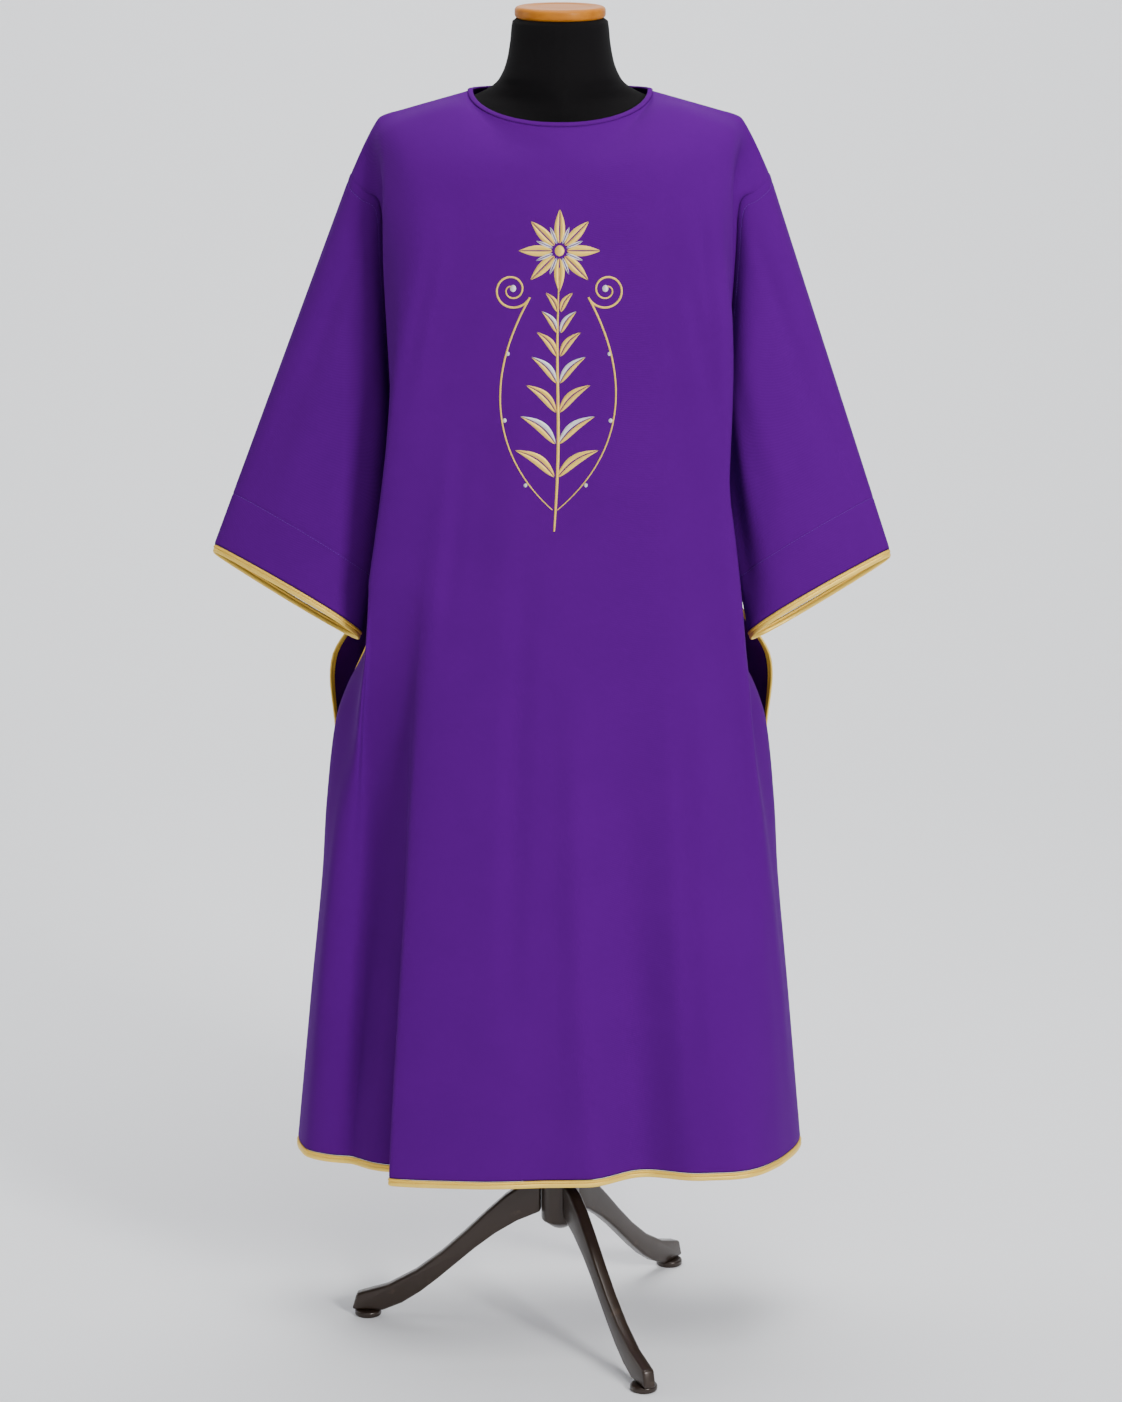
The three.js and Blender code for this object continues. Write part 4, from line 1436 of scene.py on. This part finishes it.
@dataclass
class Piping:
    """Gold edging: a twisted cord against the cloth and a smooth satin fold beyond it."""

    name: str
    cord_radius: float = 2.05
    satin_half: float = 3.0
    satin_thick: float = 1.65
    twist: float = 11.0
    strands: int = 3

    def build(self, border: tuple[Array, Array, Array], closed: bool) -> bpy.types.Object:
        """Makes and rides the piping.

        Args:
            border: the cloth's edge points, normals, and directions away from the cloth.
            closed: whether the edge is a loop.

        Returns:
            The piping.
        """
        edge, normals, away = border
        middle = edge - normals * CLOTH / 2 + away * SEAM
        parts = Parts()
        self._cord(parts, middle + away * self.cord_radius, normals, away, closed)
        offset = 2 * self.cord_radius + self.satin_half - 0.6
        self._satin(parts, middle + away * offset, normals, away, closed)
        piece = parts.build(self.name + "_trim", [GOLD_CORD.build(), GOLD_SATIN.build()])
        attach(piece, "root")
        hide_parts(self.name)
        return piece

    def _cord(self, parts: Parts, path: Array, normals: Array, away: Array, closed: bool) -> None:
        """Adds the twisted cord along a path.

        Args:
            parts: where it is gathered.
            path: its middle line.
            normals: directions out of the cloth.
            away: directions away from the cloth.
            closed: whether the path is a loop.
        """
        run, (path, normals, away) = evenly(path, [normals, away], 0.85, closed)
        turns = np.linspace(0, TURN, 11)[:-1]
        lobe = np.abs(np.cos(self.strands / 2 * (turns[None] - TURN * run[:, None] / self.twist)))
        radius = self.cord_radius * (0.8 + 0.24 * lobe)[..., None]
        rings = path[:, None] + radius * (
            np.cos(turns)[None, :, None] * away[:, None] + np.sin(turns)[None, :, None] * normals[:, None])
        parts.rings(rings, self._maps(run, len(turns), self.cord_radius), closed, 0)

    def _satin(self, parts: Parts, path: Array, normals: Array, away: Array, closed: bool) -> None:
        """Adds the smooth fold along a path, with faint pulls across it.

        Args:
            parts: where it is gathered.
            path: its middle line.
            normals: directions out of the cloth.
            away: directions away from the cloth.
            closed: whether the path is a loop.
        """
        run, (path, normals, away) = evenly(path, [normals, away], 2.2, closed)
        turns = np.linspace(0, TURN, 15)[:-1]
        pull = 1 + 0.05 * np.sin(run * TURN / 13.0) * np.sin(run * TURN / 47.0 + 1)
        wide = squared(np.cos(turns), 0.8) * self.satin_half
        thick = squared(np.sin(turns), 0.8) * self.satin_thick
        rings = path[:, None] + wide[None, :, None] * away[:, None]
        rings = rings + (pull[:, None] * thick[None])[..., None] * normals[:, None]
        parts.rings(rings, self._maps(run, len(turns), self.satin_half), closed, 1)

    @staticmethod
    def _maps(run: Array, sides: int, radius: float) -> Array:
        """The thread map of rings: round, then along."""
        around = np.linspace(0, TURN * radius, sides + 1)
        return np.stack(np.meshgrid(around, run), axis=-1) * MM


@dataclass
class NeckBinding:
    """The narrow self binding of the neckline, rolled and a little uneven."""

    width: float = 6.5
    thick: float = 3.6
    points_a_side: int = 170

    def build(self) -> bpy.types.Object:
        """Makes and rides the binding.

        Returns:
            The binding.
        """
        inset = 0.1 + self.width / 2
        share = np.linspace(-1, 1, self.points_a_side)
        halves = [(FRONT_NECK, Side.FRONT, share), (BACK_NECK, Side.BACK, share[::-1][1:-1])]
        path = np.vstack([neck.points(s, side, inset) for neck, side, s in halves])
        further = np.vstack([neck.points(s, side, inset + 1) for neck, side, s in halves])
        wide = unit(further - path)
        along = unit(np.roll(path, -1, axis=0) - np.roll(path, 1, axis=0))
        thick = unit(np.cross(along, wide))
        thick *= np.sign(np.sum(thick * (0, 0, 1), axis=1, keepdims=True) + 1e-9)
        run, (path, wide, thick) = evenly(path, [wide, thick], 2.0, True)
        turns = np.linspace(0, TURN, 19)[:-1]
        rolled = 1 + 0.035 * np.sin(run * TURN / 17.0) + 0.03 * np.sin(run * TURN / 6.7 + 2)
        reach = squared(np.cos(turns), 0.85) * self.width / 2
        rise = squared(np.sin(turns), 0.75) * self.thick / 2
        rings = path[:, None] + reach[None, :, None] * wide[:, None]
        rings = rings + (rolled[:, None] * rise[None])[..., None] * thick[:, None]
        around = np.linspace(0, TURN * 2.6, len(turns) + 1)
        parts = Parts()
        parts.rings(rings, np.stack(np.meshgrid(around, run), axis=-1) * MM, True)
        piece = parts.build("neck_binding_roll", [BINDING.build()])
        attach(piece, "root")
        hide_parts("neck_binding")
        return piece


@dataclass
class Stitching:
    """A row of short stitches lying on the cloth."""

    name: str
    pitch: float = 3.6
    length: float = 2.5
    half: float = 0.28

    def build(self, rows: Sequence[tuple[Array, Array]], closed: bool) -> bpy.types.Object:
        """Makes and rides the stitches.

        Args:
            rows: for each row, points on the cloth and their outward normals.
            closed: whether the rows are loops.

        Returns:
            All the stitches as one piece.
        """
        parts = Parts()
        turns = np.linspace(0, TURN, 6)[:-1]
        shape = ((-0.5, 0.5, -0.25), (-0.28, 1.0, 0.25), (0.28, 1.0, 0.25), (0.5, 0.5, -0.25))
        for path, normals in rows:
            _, (path, normals) = evenly(path, [normals], self.pitch, closed)
            along = unit(np.gradient(path, axis=0))
            side = np.cross(normals, along)
            for place, normal, forward, across in zip(path, normals, along, side):
                rings = np.stack([
                    place + forward * share * self.length + normal * lift
                    + self.half * size * (np.cos(turns)[:, None] * across + np.sin(turns)[:, None] * normal)
                    for share, size, lift in shape])
                along_map = [share * self.length for share, _, _ in shape]
                maps = np.stack(np.meshgrid(np.arange(6) * 0.3, along_map), axis=-1) * MM
                parts.rings(rings, maps, False)
        piece = parts.build(self.name, [PURPLE_THREAD.build()])
        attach(piece, "root")
        return piece


# --------------------------------------------------------------------------------------------
# The embroidery: a sprig of paired leaves and curling tendrils under a rosette
# --------------------------------------------------------------------------------------------


@dataclass
class Ground:
    """The front's outer face as a patch that flat drawings are laid on."""

    cloth: PanelCloth
    low: float = 1030.0
    high: float = 1480.0
    gap: float = 4.0

    def __post_init__(self) -> None:
        """Samples the cloth on a fine patch."""
        self.heights = np.arange(self.low, self.high + self.gap, self.gap)
        self.at = np.linspace(-0.5, 0.5, 101)
        self.points, self.normals = self.cloth.panel.surface(self.at, self.heights[::-1])
        self.points, self.normals = self.points[::-1], self.normals[::-1]

    def lay(self, x: Array, z: Array, lift: Array) -> Array:
        """Points a lift above the cloth at flat places x and z.

        Args:
            x: sideways from the middle line.
            z: nominal heights.
            lift: heights above the cloth.

        Returns:
            The points.
        """
        crest = np.interp(-z, -FRONT_SECTIONS["z"], FRONT_SECTIONS["crest_x"])
        u = x / crest * CREST_AT
        row = np.clip((z - self.low) / self.gap, 0, len(self.heights) - 1.001)
        column = np.clip((u + 0.5) * 100, 0, 99.999)
        i, j = row.astype(int), column.astype(int)
        a, b = (row - i)[..., None], (column - j)[..., None]

        def mix(patch: Array) -> Array:
            """The patch between its four nearest points."""
            low = patch[i, j] * (1 - b) + patch[i, j + 1] * b
            return low * (1 - a) + (patch[i + 1, j] * (1 - b) + patch[i + 1, j + 1] * b) * a

        return mix(self.points) + mix(self.normals) * lift[..., None]


@dataclass
class Satin:
    """Raised satin stitch: a domed strip between two edges, ridged by its threads."""

    ground: Ground
    parts: Parts
    stitch: float = 1.15
    sunk: float = 0.5
    across: int = 6

    def strip(self, left: Array, right: Array, height: float, slot: int = 0) -> None:
        """Adds a strip.

        Args:
            left: points x, z of one edge, from its start to its end.
            right: as many points of the other edge.
            height: how far its middle stands above the cloth.
            slot: 0 for gold and 1 for silver.
        """
        run = lengths_along((left + right) / 2, 0)
        count = max(int(run[-1] / self.stitch) * 2, 6)
        at = np.linspace(0, run[-1], count + 1)
        edges = [
            np.stack([np.interp(at, run, edge[:, k]) for k in range(2)], axis=-1) for edge in (left, right)
        ]
        share = np.linspace(0, 1, self.across + 1)
        flat = edges[0][:, None] * (1 - share)[None, :, None] + edges[1][:, None] * share[None, :, None]
        width = np.linalg.norm(edges[1] - edges[0], axis=1)
        dome = np.sin(np.pi * share) ** 0.6
        full = height * np.clip(width / 2.2, 0.3, 1)
        ridge = np.where(np.arange(count + 1) % 2 == 0, 0.09, -0.09)
        lift = dome[None] * (full + ridge)[:, None] - self.sunk * (1 - dome)[None]
        rings = self.ground.lay(flat[..., 0], flat[..., 1], lift)
        around = np.linspace(0, 1, self.across + 2)[None] * np.maximum(width, 0.5)[:, None]
        maps = np.stack([around, np.tile(at[:, None], (1, self.across + 2))], axis=-1) * MM
        self.parts.rings(rings, maps, False, slot)

    def line(self, path: Array, widths: Array, height: float, slot: int = 0) -> None:
        """Adds a strip along the middle line of a path with a width at each point.

        Args:
            path: its points x, z.
            widths: a width for each.
            height: how far its middle stands above the cloth.
            slot: 0 for gold and 1 for silver.
        """
        along = unit(np.gradient(path, axis=0))
        side = np.stack([-along[:, 1], along[:, 0]], axis=-1) * widths[:, None] / 2
        self.strip(path + side, path - side, height, slot)

    def leaf(
        self, foot: Array, turn: float, length: float, width: float, bow: float, slots: tuple[int, int],
    ) -> None:
        """Adds a leaf in two halves that meet at its vein.

        Args:
            foot: where it starts.
            turn: its direction in degrees, anticlockwise from +x.
            length: from foot to tip.
            width: at its widest.
            bow: how far its vein bends to the left, as a share of its length.
            slots: the finishes of its left and right halves.
        """
        s = np.linspace(0, 1, 31)
        ahead = np.array([math.cos(math.radians(turn)), math.sin(math.radians(turn))])
        left = np.array([-ahead[1], ahead[0]])
        vein = foot + np.outer(s * length, ahead) + np.outer(np.sin(np.pi * s) * bow * length, left)
        swell = np.sin(np.pi * s ** 0.8) ** 0.9 * width / 2 + 0.15
        for side, slot in zip((1, -1), slots):
            inner = vein + np.outer(np.full(31, 0.22 * side), left)
            self.strip(inner, vein + np.outer(side * swell, left), 0.95, slot)


@dataclass
class Sprig:
    """The embroidered ornament of the chest: a symmetric sprig under a rosette of petals."""

    ground: Ground
    foot_z: float = 1062.0
    rosette_z: float = 1398.0
    petals: int = 8
    petal_length: float = 40.0

    def build(self) -> bpy.types.Object:
        """Makes and rides the embroidery.

        Returns:
            The embroidery.
        """
        self.satin = Satin(self.ground, Parts())
        self._stem()
        self._leaves()
        for hand in (-1, 1):
            self._tendril(hand)
        self._rosette()
        piece = self.satin.parts.build("chest_embroidery", [GOLD_STITCH.build(), SILVER_STITCH.build()], 70)
        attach(piece, "root")
        return piece

    def _stem(self) -> None:
        """Adds the stem, wider at its foot."""
        z = np.linspace(self.foot_z, self.rosette_z - 20, 60)
        share = (z - z[0]) / (z[-1] - z[0])
        path = np.stack([1.6 * np.sin(share * TURN), z], axis=-1)
        swell = np.sin(np.pi * np.clip(share + 0.04, 0, 1)) ** 0.5
        self.satin.line(path, 1.2 + 3.8 * swell * (1 - 0.45 * share), 1.2)

    def _leaves(self) -> None:
        """Adds pairs of leaves up the stem, each pair smaller than the last."""
        rows = ((1128, 58, 14, 34), (1168, 54, 13.5, 38), (1206, 49, 12.5, 42), (1241, 44, 11.5, 46),
                (1273, 38, 10.5, 50), (1301, 32, 9.5, 54), (1326, 27, 8.5, 58))
        for number, (z, length, width, turn) in enumerate(rows):
            for hand in (-1, 1):
                foot = np.array([1.8 * hand, float(z)])
                silver = (1, 0) if hand > 0 else (0, 1)
                slots = silver if number % 2 else (0, 0)
                direction = turn if hand > 0 else 180 - turn
                self.satin.leaf(foot, direction, length, width, 0.1 * hand, slots)

    def _tendril(self, hand: int) -> None:
        """Adds a tendril that leaves the stem low down, climbs and curls into a berry.

        Args:
            hand: -1 for the left of the drawing and 1 for its right.
        """
        s = np.linspace(0, 1, 90)
        turn = 3.6 * np.pi * s ** 1.1
        radius = 21 * (1 - s) ** 0.9 + 2.2
        curl_x, curl_z = 56 + radius * np.sin(turn - 1.2), 1352 - radius * np.cos(turn - 1.2)
        lead = np.linspace(0, 1, 60)[:-1, None]
        start, first = np.array([3.0, 1088.0]), np.array([74.0, 1150.0])
        last = np.array([curl_x[0], curl_z[0]])
        before = np.array([92.0, 1240.0])
        bend = ((1 - lead) ** 3 * start + 3 * (1 - lead) ** 2 * lead * first
                + 3 * (1 - lead) * lead ** 2 * before + lead ** 3 * last)
        path = np.vstack([bend, np.stack([curl_x, curl_z], axis=-1)])
        path[:, 0] *= hand
        share = np.linspace(0, 1, len(path))
        self.satin.line(path, 0.9 + 2.1 * np.sin(np.pi * (0.06 + 0.88 * share)) ** 0.7, 1.0)
        self._berry(path[-1], 4.2, 1)
        for z, out, size in ((1118, 36.0, 2.6), (1196, 63.0, 2.8), (1276, 60.0, 2.6)):
            self._berry(np.array([hand * out, float(z)]), size, 1)

    def _berry(self, middle: Array, radius: float, slot: int) -> None:
        """Adds a round of satin stitch.

        Args:
            middle: its centre x, z.
            radius: its radius.
            slot: 0 for gold and 1 for silver.
        """
        turn = np.linspace(0.12, np.pi - 0.12, 17)
        x, z = radius * np.sin(turn), radius * np.cos(turn)
        self.satin.strip(middle + np.stack([-x, z], axis=-1), middle + np.stack([x, z], axis=-1), 1.4, slot)

    def _rosette(self) -> None:
        """Adds a ring of petals with small silver ones between them, round a berry."""
        middle = np.array([0.0, self.rosette_z])
        for petal in range(self.petals):
            turn = 90 + 360 / self.petals * petal
            petals = ((self.petal_length, 13.5, 0.0, (0, 0)), (22.0, 4.6, 0.5, (1, 1)))
            for length, width, offset, slots in petals:
                angle = turn + offset * 360 / self.petals
                ahead = np.array([math.cos(math.radians(angle)), math.sin(math.radians(angle))])
                self.satin.leaf(middle + 8.5 * ahead, angle, length, width, 0.0, slots)
        self._berry(middle, 6.4, 0)


# --------------------------------------------------------------------------------------------
# The dress form and its stand
# --------------------------------------------------------------------------------------------


@dataclass
class FormTorso:
    """The limbless padded torso in black jersey, as sections by falling height."""

    sections: Sequence[Sequence[float]] = (
        (1658, 53, 53, 2), (1655, 57, 57, 2), (1630, 60, 60, 2), (1608, 64, 64, 2), (1592, 70, 67, 1.9),
        (1580, 79, 68, 1.55), (1567, 103, 69, 1.2), (1556, 142, 70, 1.15), (1545, 180, 72, 1.3),
        (1534, 202, 76, 1.6), (1515, 208, 82, 1.9), (1480, 204, 90, 2.1), (1430, 192, 99, 2.3),
        (1360, 181, 106, 2.3), (1270, 173, 108, 2.3), (1150, 158, 100, 2.2), (1060, 143, 92, 2.1),
        (980, 146, 94, 2.1), (880, 158, 102, 2.1), (800, 154, 98, 2.1), (786, 146, 92, 2.1),
        (780, 132, 82, 2.1),
    )
    sides: int = 120
    seam_depth: float = 0.7

    def build(self) -> bpy.types.Object:
        """Returns:
            The torso.
        """
        levels = np.array(self.sections, dtype=float)
        even, neck = np.arange(784, 1656, 7.0), np.arange(1540, 1656, 3.0)
        heights = np.unique(np.concatenate([levels[:, 0], even, neck]))[::-1]
        half_x, half_y, power = curve(-levels[:, 0], levels[:, 1:], -heights).T
        turns = np.linspace(0, TURN, self.sides, endpoint=False)
        c, s = np.cos(turns)[None], np.sin(turns)[None]
        bend = 2 / power[:, None]
        x = half_x[:, None] * np.sign(c) * np.abs(c) ** bend
        y = half_y[:, None] * np.sign(s) * np.abs(s) ** bend
        rings = np.stack([FORM_X + x, y, np.broadcast_to(heights[:, None], x.shape)], axis=-1)
        run = lengths_along(np.concatenate([rings, rings[:, :1]], axis=1), 1)
        out = unit(np.stack([np.cos(turns), np.sin(turns), np.zeros(self.sides)], axis=-1))[None]
        for seam in (math.pi / 2, 3 * math.pi / 2):
            column = int(round(seam / TURN * self.sides))
            rings += out * groove(run[:, :-1] - run[:, column][:, None], self.seam_depth, 1.6)[..., None]
        maps = np.stack([run, np.broadcast_to(heights[:, None], run.shape)], axis=-1) * MM
        parts = Parts()
        parts.rings(rings, maps, False)
        piece = parts.build("form_torso_jersey", [JERSEY.build()])
        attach(piece, "root")
        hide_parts("form_torso")
        return piece


@dataclass
class NeckCap:
    """The turned and varnished wooden cap on the form's neck."""

    round_edge: float = 0.005
    bead: float = 0.0012

    def build(self) -> bpy.types.Object:
        """Makes and rides the cap: a disc with rounded rims, a raised bead and a domed top.

        Returns:
            The cap.
        """
        low, high = (np.array(corner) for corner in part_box("neck_cap"))
        middle, radius, thick = (low + high) / 2, (high[0] - low[0]) / 2, high[2] - low[2]
        bpy.ops.object.select_all(action="DESELECT")
        bpy.ops.mesh.primitive_cylinder_add(vertices=128, radius=radius, depth=thick, location=middle)
        piece = bpy.context.object
        piece.name = "neck_cap_turned"
        bpy.ops.object.transform_apply(location=True)
        bpy.ops.object.mode_set(mode="EDIT")
        bpy.ops.mesh.select_mode(type="EDGE")
        select_faces(piece, lambda face: abs(face.normal.z) > 0.9)
        bpy.ops.mesh.bevel(offset=self.round_edge, segments=8, affect="EDGES")
        select_faces(piece, lambda face: face.normal.z > 0.99 and len(face.verts) > 8)
        bpy.ops.mesh.inset(thickness=radius * 0.2, depth=0.0)
        bpy.ops.mesh.inset(thickness=radius * 0.025, depth=-self.bead / 2)
        bpy.ops.mesh.inset(thickness=radius * 0.2, depth=self.bead / 4)
        bpy.ops.mesh.inset(thickness=radius * 0.25, depth=self.bead / 8)
        bpy.ops.object.mode_set(mode="OBJECT")
        piece.data.materials.clear()
        piece.data.materials.append(WOOD.build())
        smooth(piece, 35)
        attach(piece, "root")
        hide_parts("neck_cap")
        return piece


def select_faces(piece: bpy.types.Object, wanted: Callable[[bmesh.types.BMFace], bool]) -> None:
    """Selects a piece's faces in edit mode.

    Args:
        piece: the piece, in edit mode.
        wanted: says whether a face is taken.
    """
    bpy.ops.mesh.select_all(action="DESELECT")
    bpy.ops.mesh.select_mode(type="FACE")
    work = bmesh.from_edit_mesh(piece.data)
    for face in work.faces:
        face.select = wanted(face)
    work.select_flush_mode()
    bmesh.update_edit_mesh(piece.data)


@dataclass
class Stand:
    """The dark steel stand: flange, pole, hub, three legs and their feet, with eased edges."""

    eased: dict[str, float] = field(default_factory=lambda: {
        "form_flange": 0.0015, "pole": 0.001, "leg_hub": 0.0022,
        "leg_1": 0.0032, "leg_2": 0.0032, "leg_3": 0.0032,
        "foot_1": 0.0022, "foot_2": 0.0022, "foot_3": 0.0022,
    })

    def build(self) -> list[bpy.types.Object]:
        """Makes and rides the stand's pieces.

        Returns:
            The pieces.
        """
        steel = STEEL.build()
        return [self._eased(node, width, steel) for node, width in self.eased.items()]

    def _eased(self, node: str, width: float, steel: bpy.types.Material) -> bpy.types.Object:
        """A copy of a solid with its doubles merged and its edges rounded.

        Args:
            node: the solid's name.
            width: how far its edges are rounded, in metres.
            steel: its finish.

        Returns:
            The rounded piece.
        """
        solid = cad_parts[node]
        piece = bpy.data.objects.new(node + "_eased", solid.data.copy())
        bpy.context.scene.collection.objects.link(piece)
        choose(piece)
        bpy.ops.object.mode_set(mode="EDIT")
        bpy.ops.mesh.select_all(action="SELECT")
        bpy.ops.mesh.remove_doubles(threshold=0.00002)
        bpy.ops.mesh.dissolve_limited(angle_limit=math.radians(1.0))
        bpy.ops.mesh.normals_make_consistent(inside=False)
        bpy.ops.object.mode_set(mode="OBJECT")
        bevel = piece.modifiers.new("eased", "BEVEL")
        bevel.width, bevel.segments, bevel.limit_method = width, 3, "ANGLE"
        bevel.angle_limit = math.radians(50)
        bpy.ops.object.modifier_apply(modifier=bevel.name)
        piece.data.materials.clear()
        piece.data.materials.append(steel)
        smooth(piece, 35)
        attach(piece, "root")
        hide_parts(node)
        return piece


# --------------------------------------------------------------------------------------------
# The studio
# --------------------------------------------------------------------------------------------


@dataclass
class Studio:
    """The pale floor and backdrop, the soft lights and the camera."""

    eye: tuple[float, float, float] = (0.006, -5.5, 2.2)
    pitch: float = 14.1
    lens: float = 117.7
    lights: Sequence[tuple[str, tuple[float, float, float], tuple[float, float, float], float, float]] = (
        ("key", (3.1, -4.5, 2.7), (0.0, 0.0, 0.9), 1.2, 262.0),
        ("fill", (-1.6, -5.9, 1.9), (0.0, 0.0, 0.8), 1.8, 40.0),
        ("top", (0.5, -1.4, 4.2), (0.1, 0.0, 1.2), 1.8, 72.0),
        ("left", (-4.2, 0.6, 2.0), (0.0, 0.0, 0.9), 1.6, 40.0),
        ("paper", (0.0, 1.2, 4.4), (0.0, 4.0, 0.6), 3.0, 170.0),
        ("rear", (-2.6, 5.2, 2.6), (0.0, 0.0, 0.9), 1.6, 260.0),
    )
    sky: Colour = (0.86, 0.92, 1.0)
    sky_strength: float = 0.13

    def build(self) -> None:
        """Makes the camera, the surfaces, the lights and the pale surroundings."""
        self._camera()
        self._paper()
        for name, place, target, size, watts in self.lights:
            lamp = bpy.data.lights.new(name, "AREA")
            lamp.shape, lamp.size, lamp.energy = "SQUARE", size, watts
            light = bpy.data.objects.new(name, lamp)
            bpy.context.scene.collection.objects.link(light)
            light.location = place
            light.visible_camera = False
            light.rotation_euler = (Vector(target) - Vector(place)).to_track_quat("-Z", "Y").to_euler()
        world = bpy.data.worlds.new("pale_room")
        world.use_nodes = True
        background = world.node_tree.nodes["Background"]
        background.inputs["Color"].default_value = (*self.sky, 1.0)
        background.inputs["Strength"].default_value = self.sky_strength
        bpy.context.scene.world = world

    def _camera(self) -> None:
        """Adds the camera, level and looking a little down."""
        lens = bpy.data.cameras.new("camera")
        lens.lens, lens.sensor_width = self.lens, 36.0
        camera = bpy.data.objects.new("camera", lens)
        bpy.context.scene.collection.objects.link(camera)
        camera.location = np.array(self.eye) + ORIGIN * MM
        camera.rotation_euler = (math.radians(90 - self.pitch), 0.0, 0.0)
        bpy.context.scene.camera = camera

    def _paper(self) -> None:
        """Adds a floor that curves up into a backdrop."""
        profile = [(-9.0, 0.0), (2.6, 0.0)]
        for step in range(1, 13):
            turn = math.pi / 2 * step / 12
            profile.append((2.6 + 1.4 * math.sin(turn), 1.4 - 1.4 * math.cos(turn)))
        profile.append((4.0, 7.0))
        points = [(x, y, z) for y, z in profile for x in (-9.0, 9.0)]
        faces = [(2 * i, 2 * i + 1, 2 * i + 3, 2 * i + 2) for i in range(len(profile) - 1)]
        mesh = bpy.data.meshes.new("paper")
        mesh.from_pydata(points, [], faces)
        mesh.materials.append(STUDIO.build())
        paper = bpy.data.objects.new("paper", mesh)
        bpy.context.scene.collection.objects.link(paper)
        smooth(paper, 40)


# --------------------------------------------------------------------------------------------
# Putting the part together
# --------------------------------------------------------------------------------------------

RIGHT_CREASES = (
    (-0.62, -0.7, 0.1, 0.75, -3.0, 0.12),
    (-0.3, -0.36, 0.25, 0.9, 2.2, 0.13),
    (-0.12, -0.2, 0.05, 0.5, -2.4, 0.1),
    (0.3, 0.42, 0.1, 0.8, -3.2, 0.13),
    (0.66, 0.6, 0.2, 0.95, 2.6, 0.14),
)
LEFT_CREASES = (
    (-0.85, -0.85, 0.03, 0.97, -9.0, 0.17),
    (-0.66, -0.62, 0.08, 0.7, -2.8, 0.12),
    (-0.34, -0.28, 0.3, 0.95, 2.4, 0.14),
    (-0.14, -0.24, 0.05, 0.55, -2.0, 0.09),
    (0.26, 0.36, 0.12, 0.72, -2.8, 0.12),
    (0.62, 0.7, 0.15, 0.9, 2.8, 0.15),
)


@dataclass
class Dalmatic:
    """The whole vestment: two panels, two sleeves, their gold piping, the binding and the sprig."""

    def build(self) -> None:
        """Makes the vestment and logs each piece with its size."""
        front = PanelCloth("front_panel", FRONT, 176, (0.91, 1.39), 0.92, (-0.56, -0.34, 60))
        back = PanelCloth("back_panel", BACK, 168, (0.84, 1.39), 0.88, row_gap=10.0)
        report("front panel", front_cloth := front.build())
        report("back panel", back_cloth := back.build())
        report("neck binding", binding := NeckBinding().build())
        report("embroidery", sprig := Sprig(Ground(front)).build())
        report("front piping", front_trim := Piping("front_piping").build(front.border(), False))
        report("back piping", back_trim := Piping("back_piping").build(back.border(), False))
        for side, hand, creases in (("right", Hand.RIGHT, RIGHT_CREASES), ("left", Hand.LEFT, LEFT_CREASES)):
            sleeve = SleeveCloth(f"sleeve_{side}", hand, front, back, creases)
            report(f"{side} sleeve", cloth := sleeve.build())
            report(f"{side} cuff piping", trim := Piping(f"cuff_piping_{side}").build(sleeve.border(), True))
            sewn = (sleeve.head_row, sleeve.hem_row)
            rows = [(sleeve.grid[row, :-1], sleeve.normals[row, :-1]) for row in sewn]
            report(f"{side} stitching", stitches := Stitching(f"sleeve_{side}_stitching").build(rows, True))


def report(what: str, piece: bpy.types.Object) -> None:
    """Logs one finished piece and its size."""
    piece.data.calc_loop_triangles()
    LOG.info("%s: %s, %d triangles", what, piece.name, len(piece.data.loop_triangles))


def main() -> None:
    """Builds the studio, the vestment, the form and its stand."""
    Studio().build()
    Dalmatic().build()
    report("torso", FormTorso().build())
    report("neck cap", NeckCap().build())
    for piece in Stand().build():
        report("stand", piece)


if __name__ == "__main__":
    main()
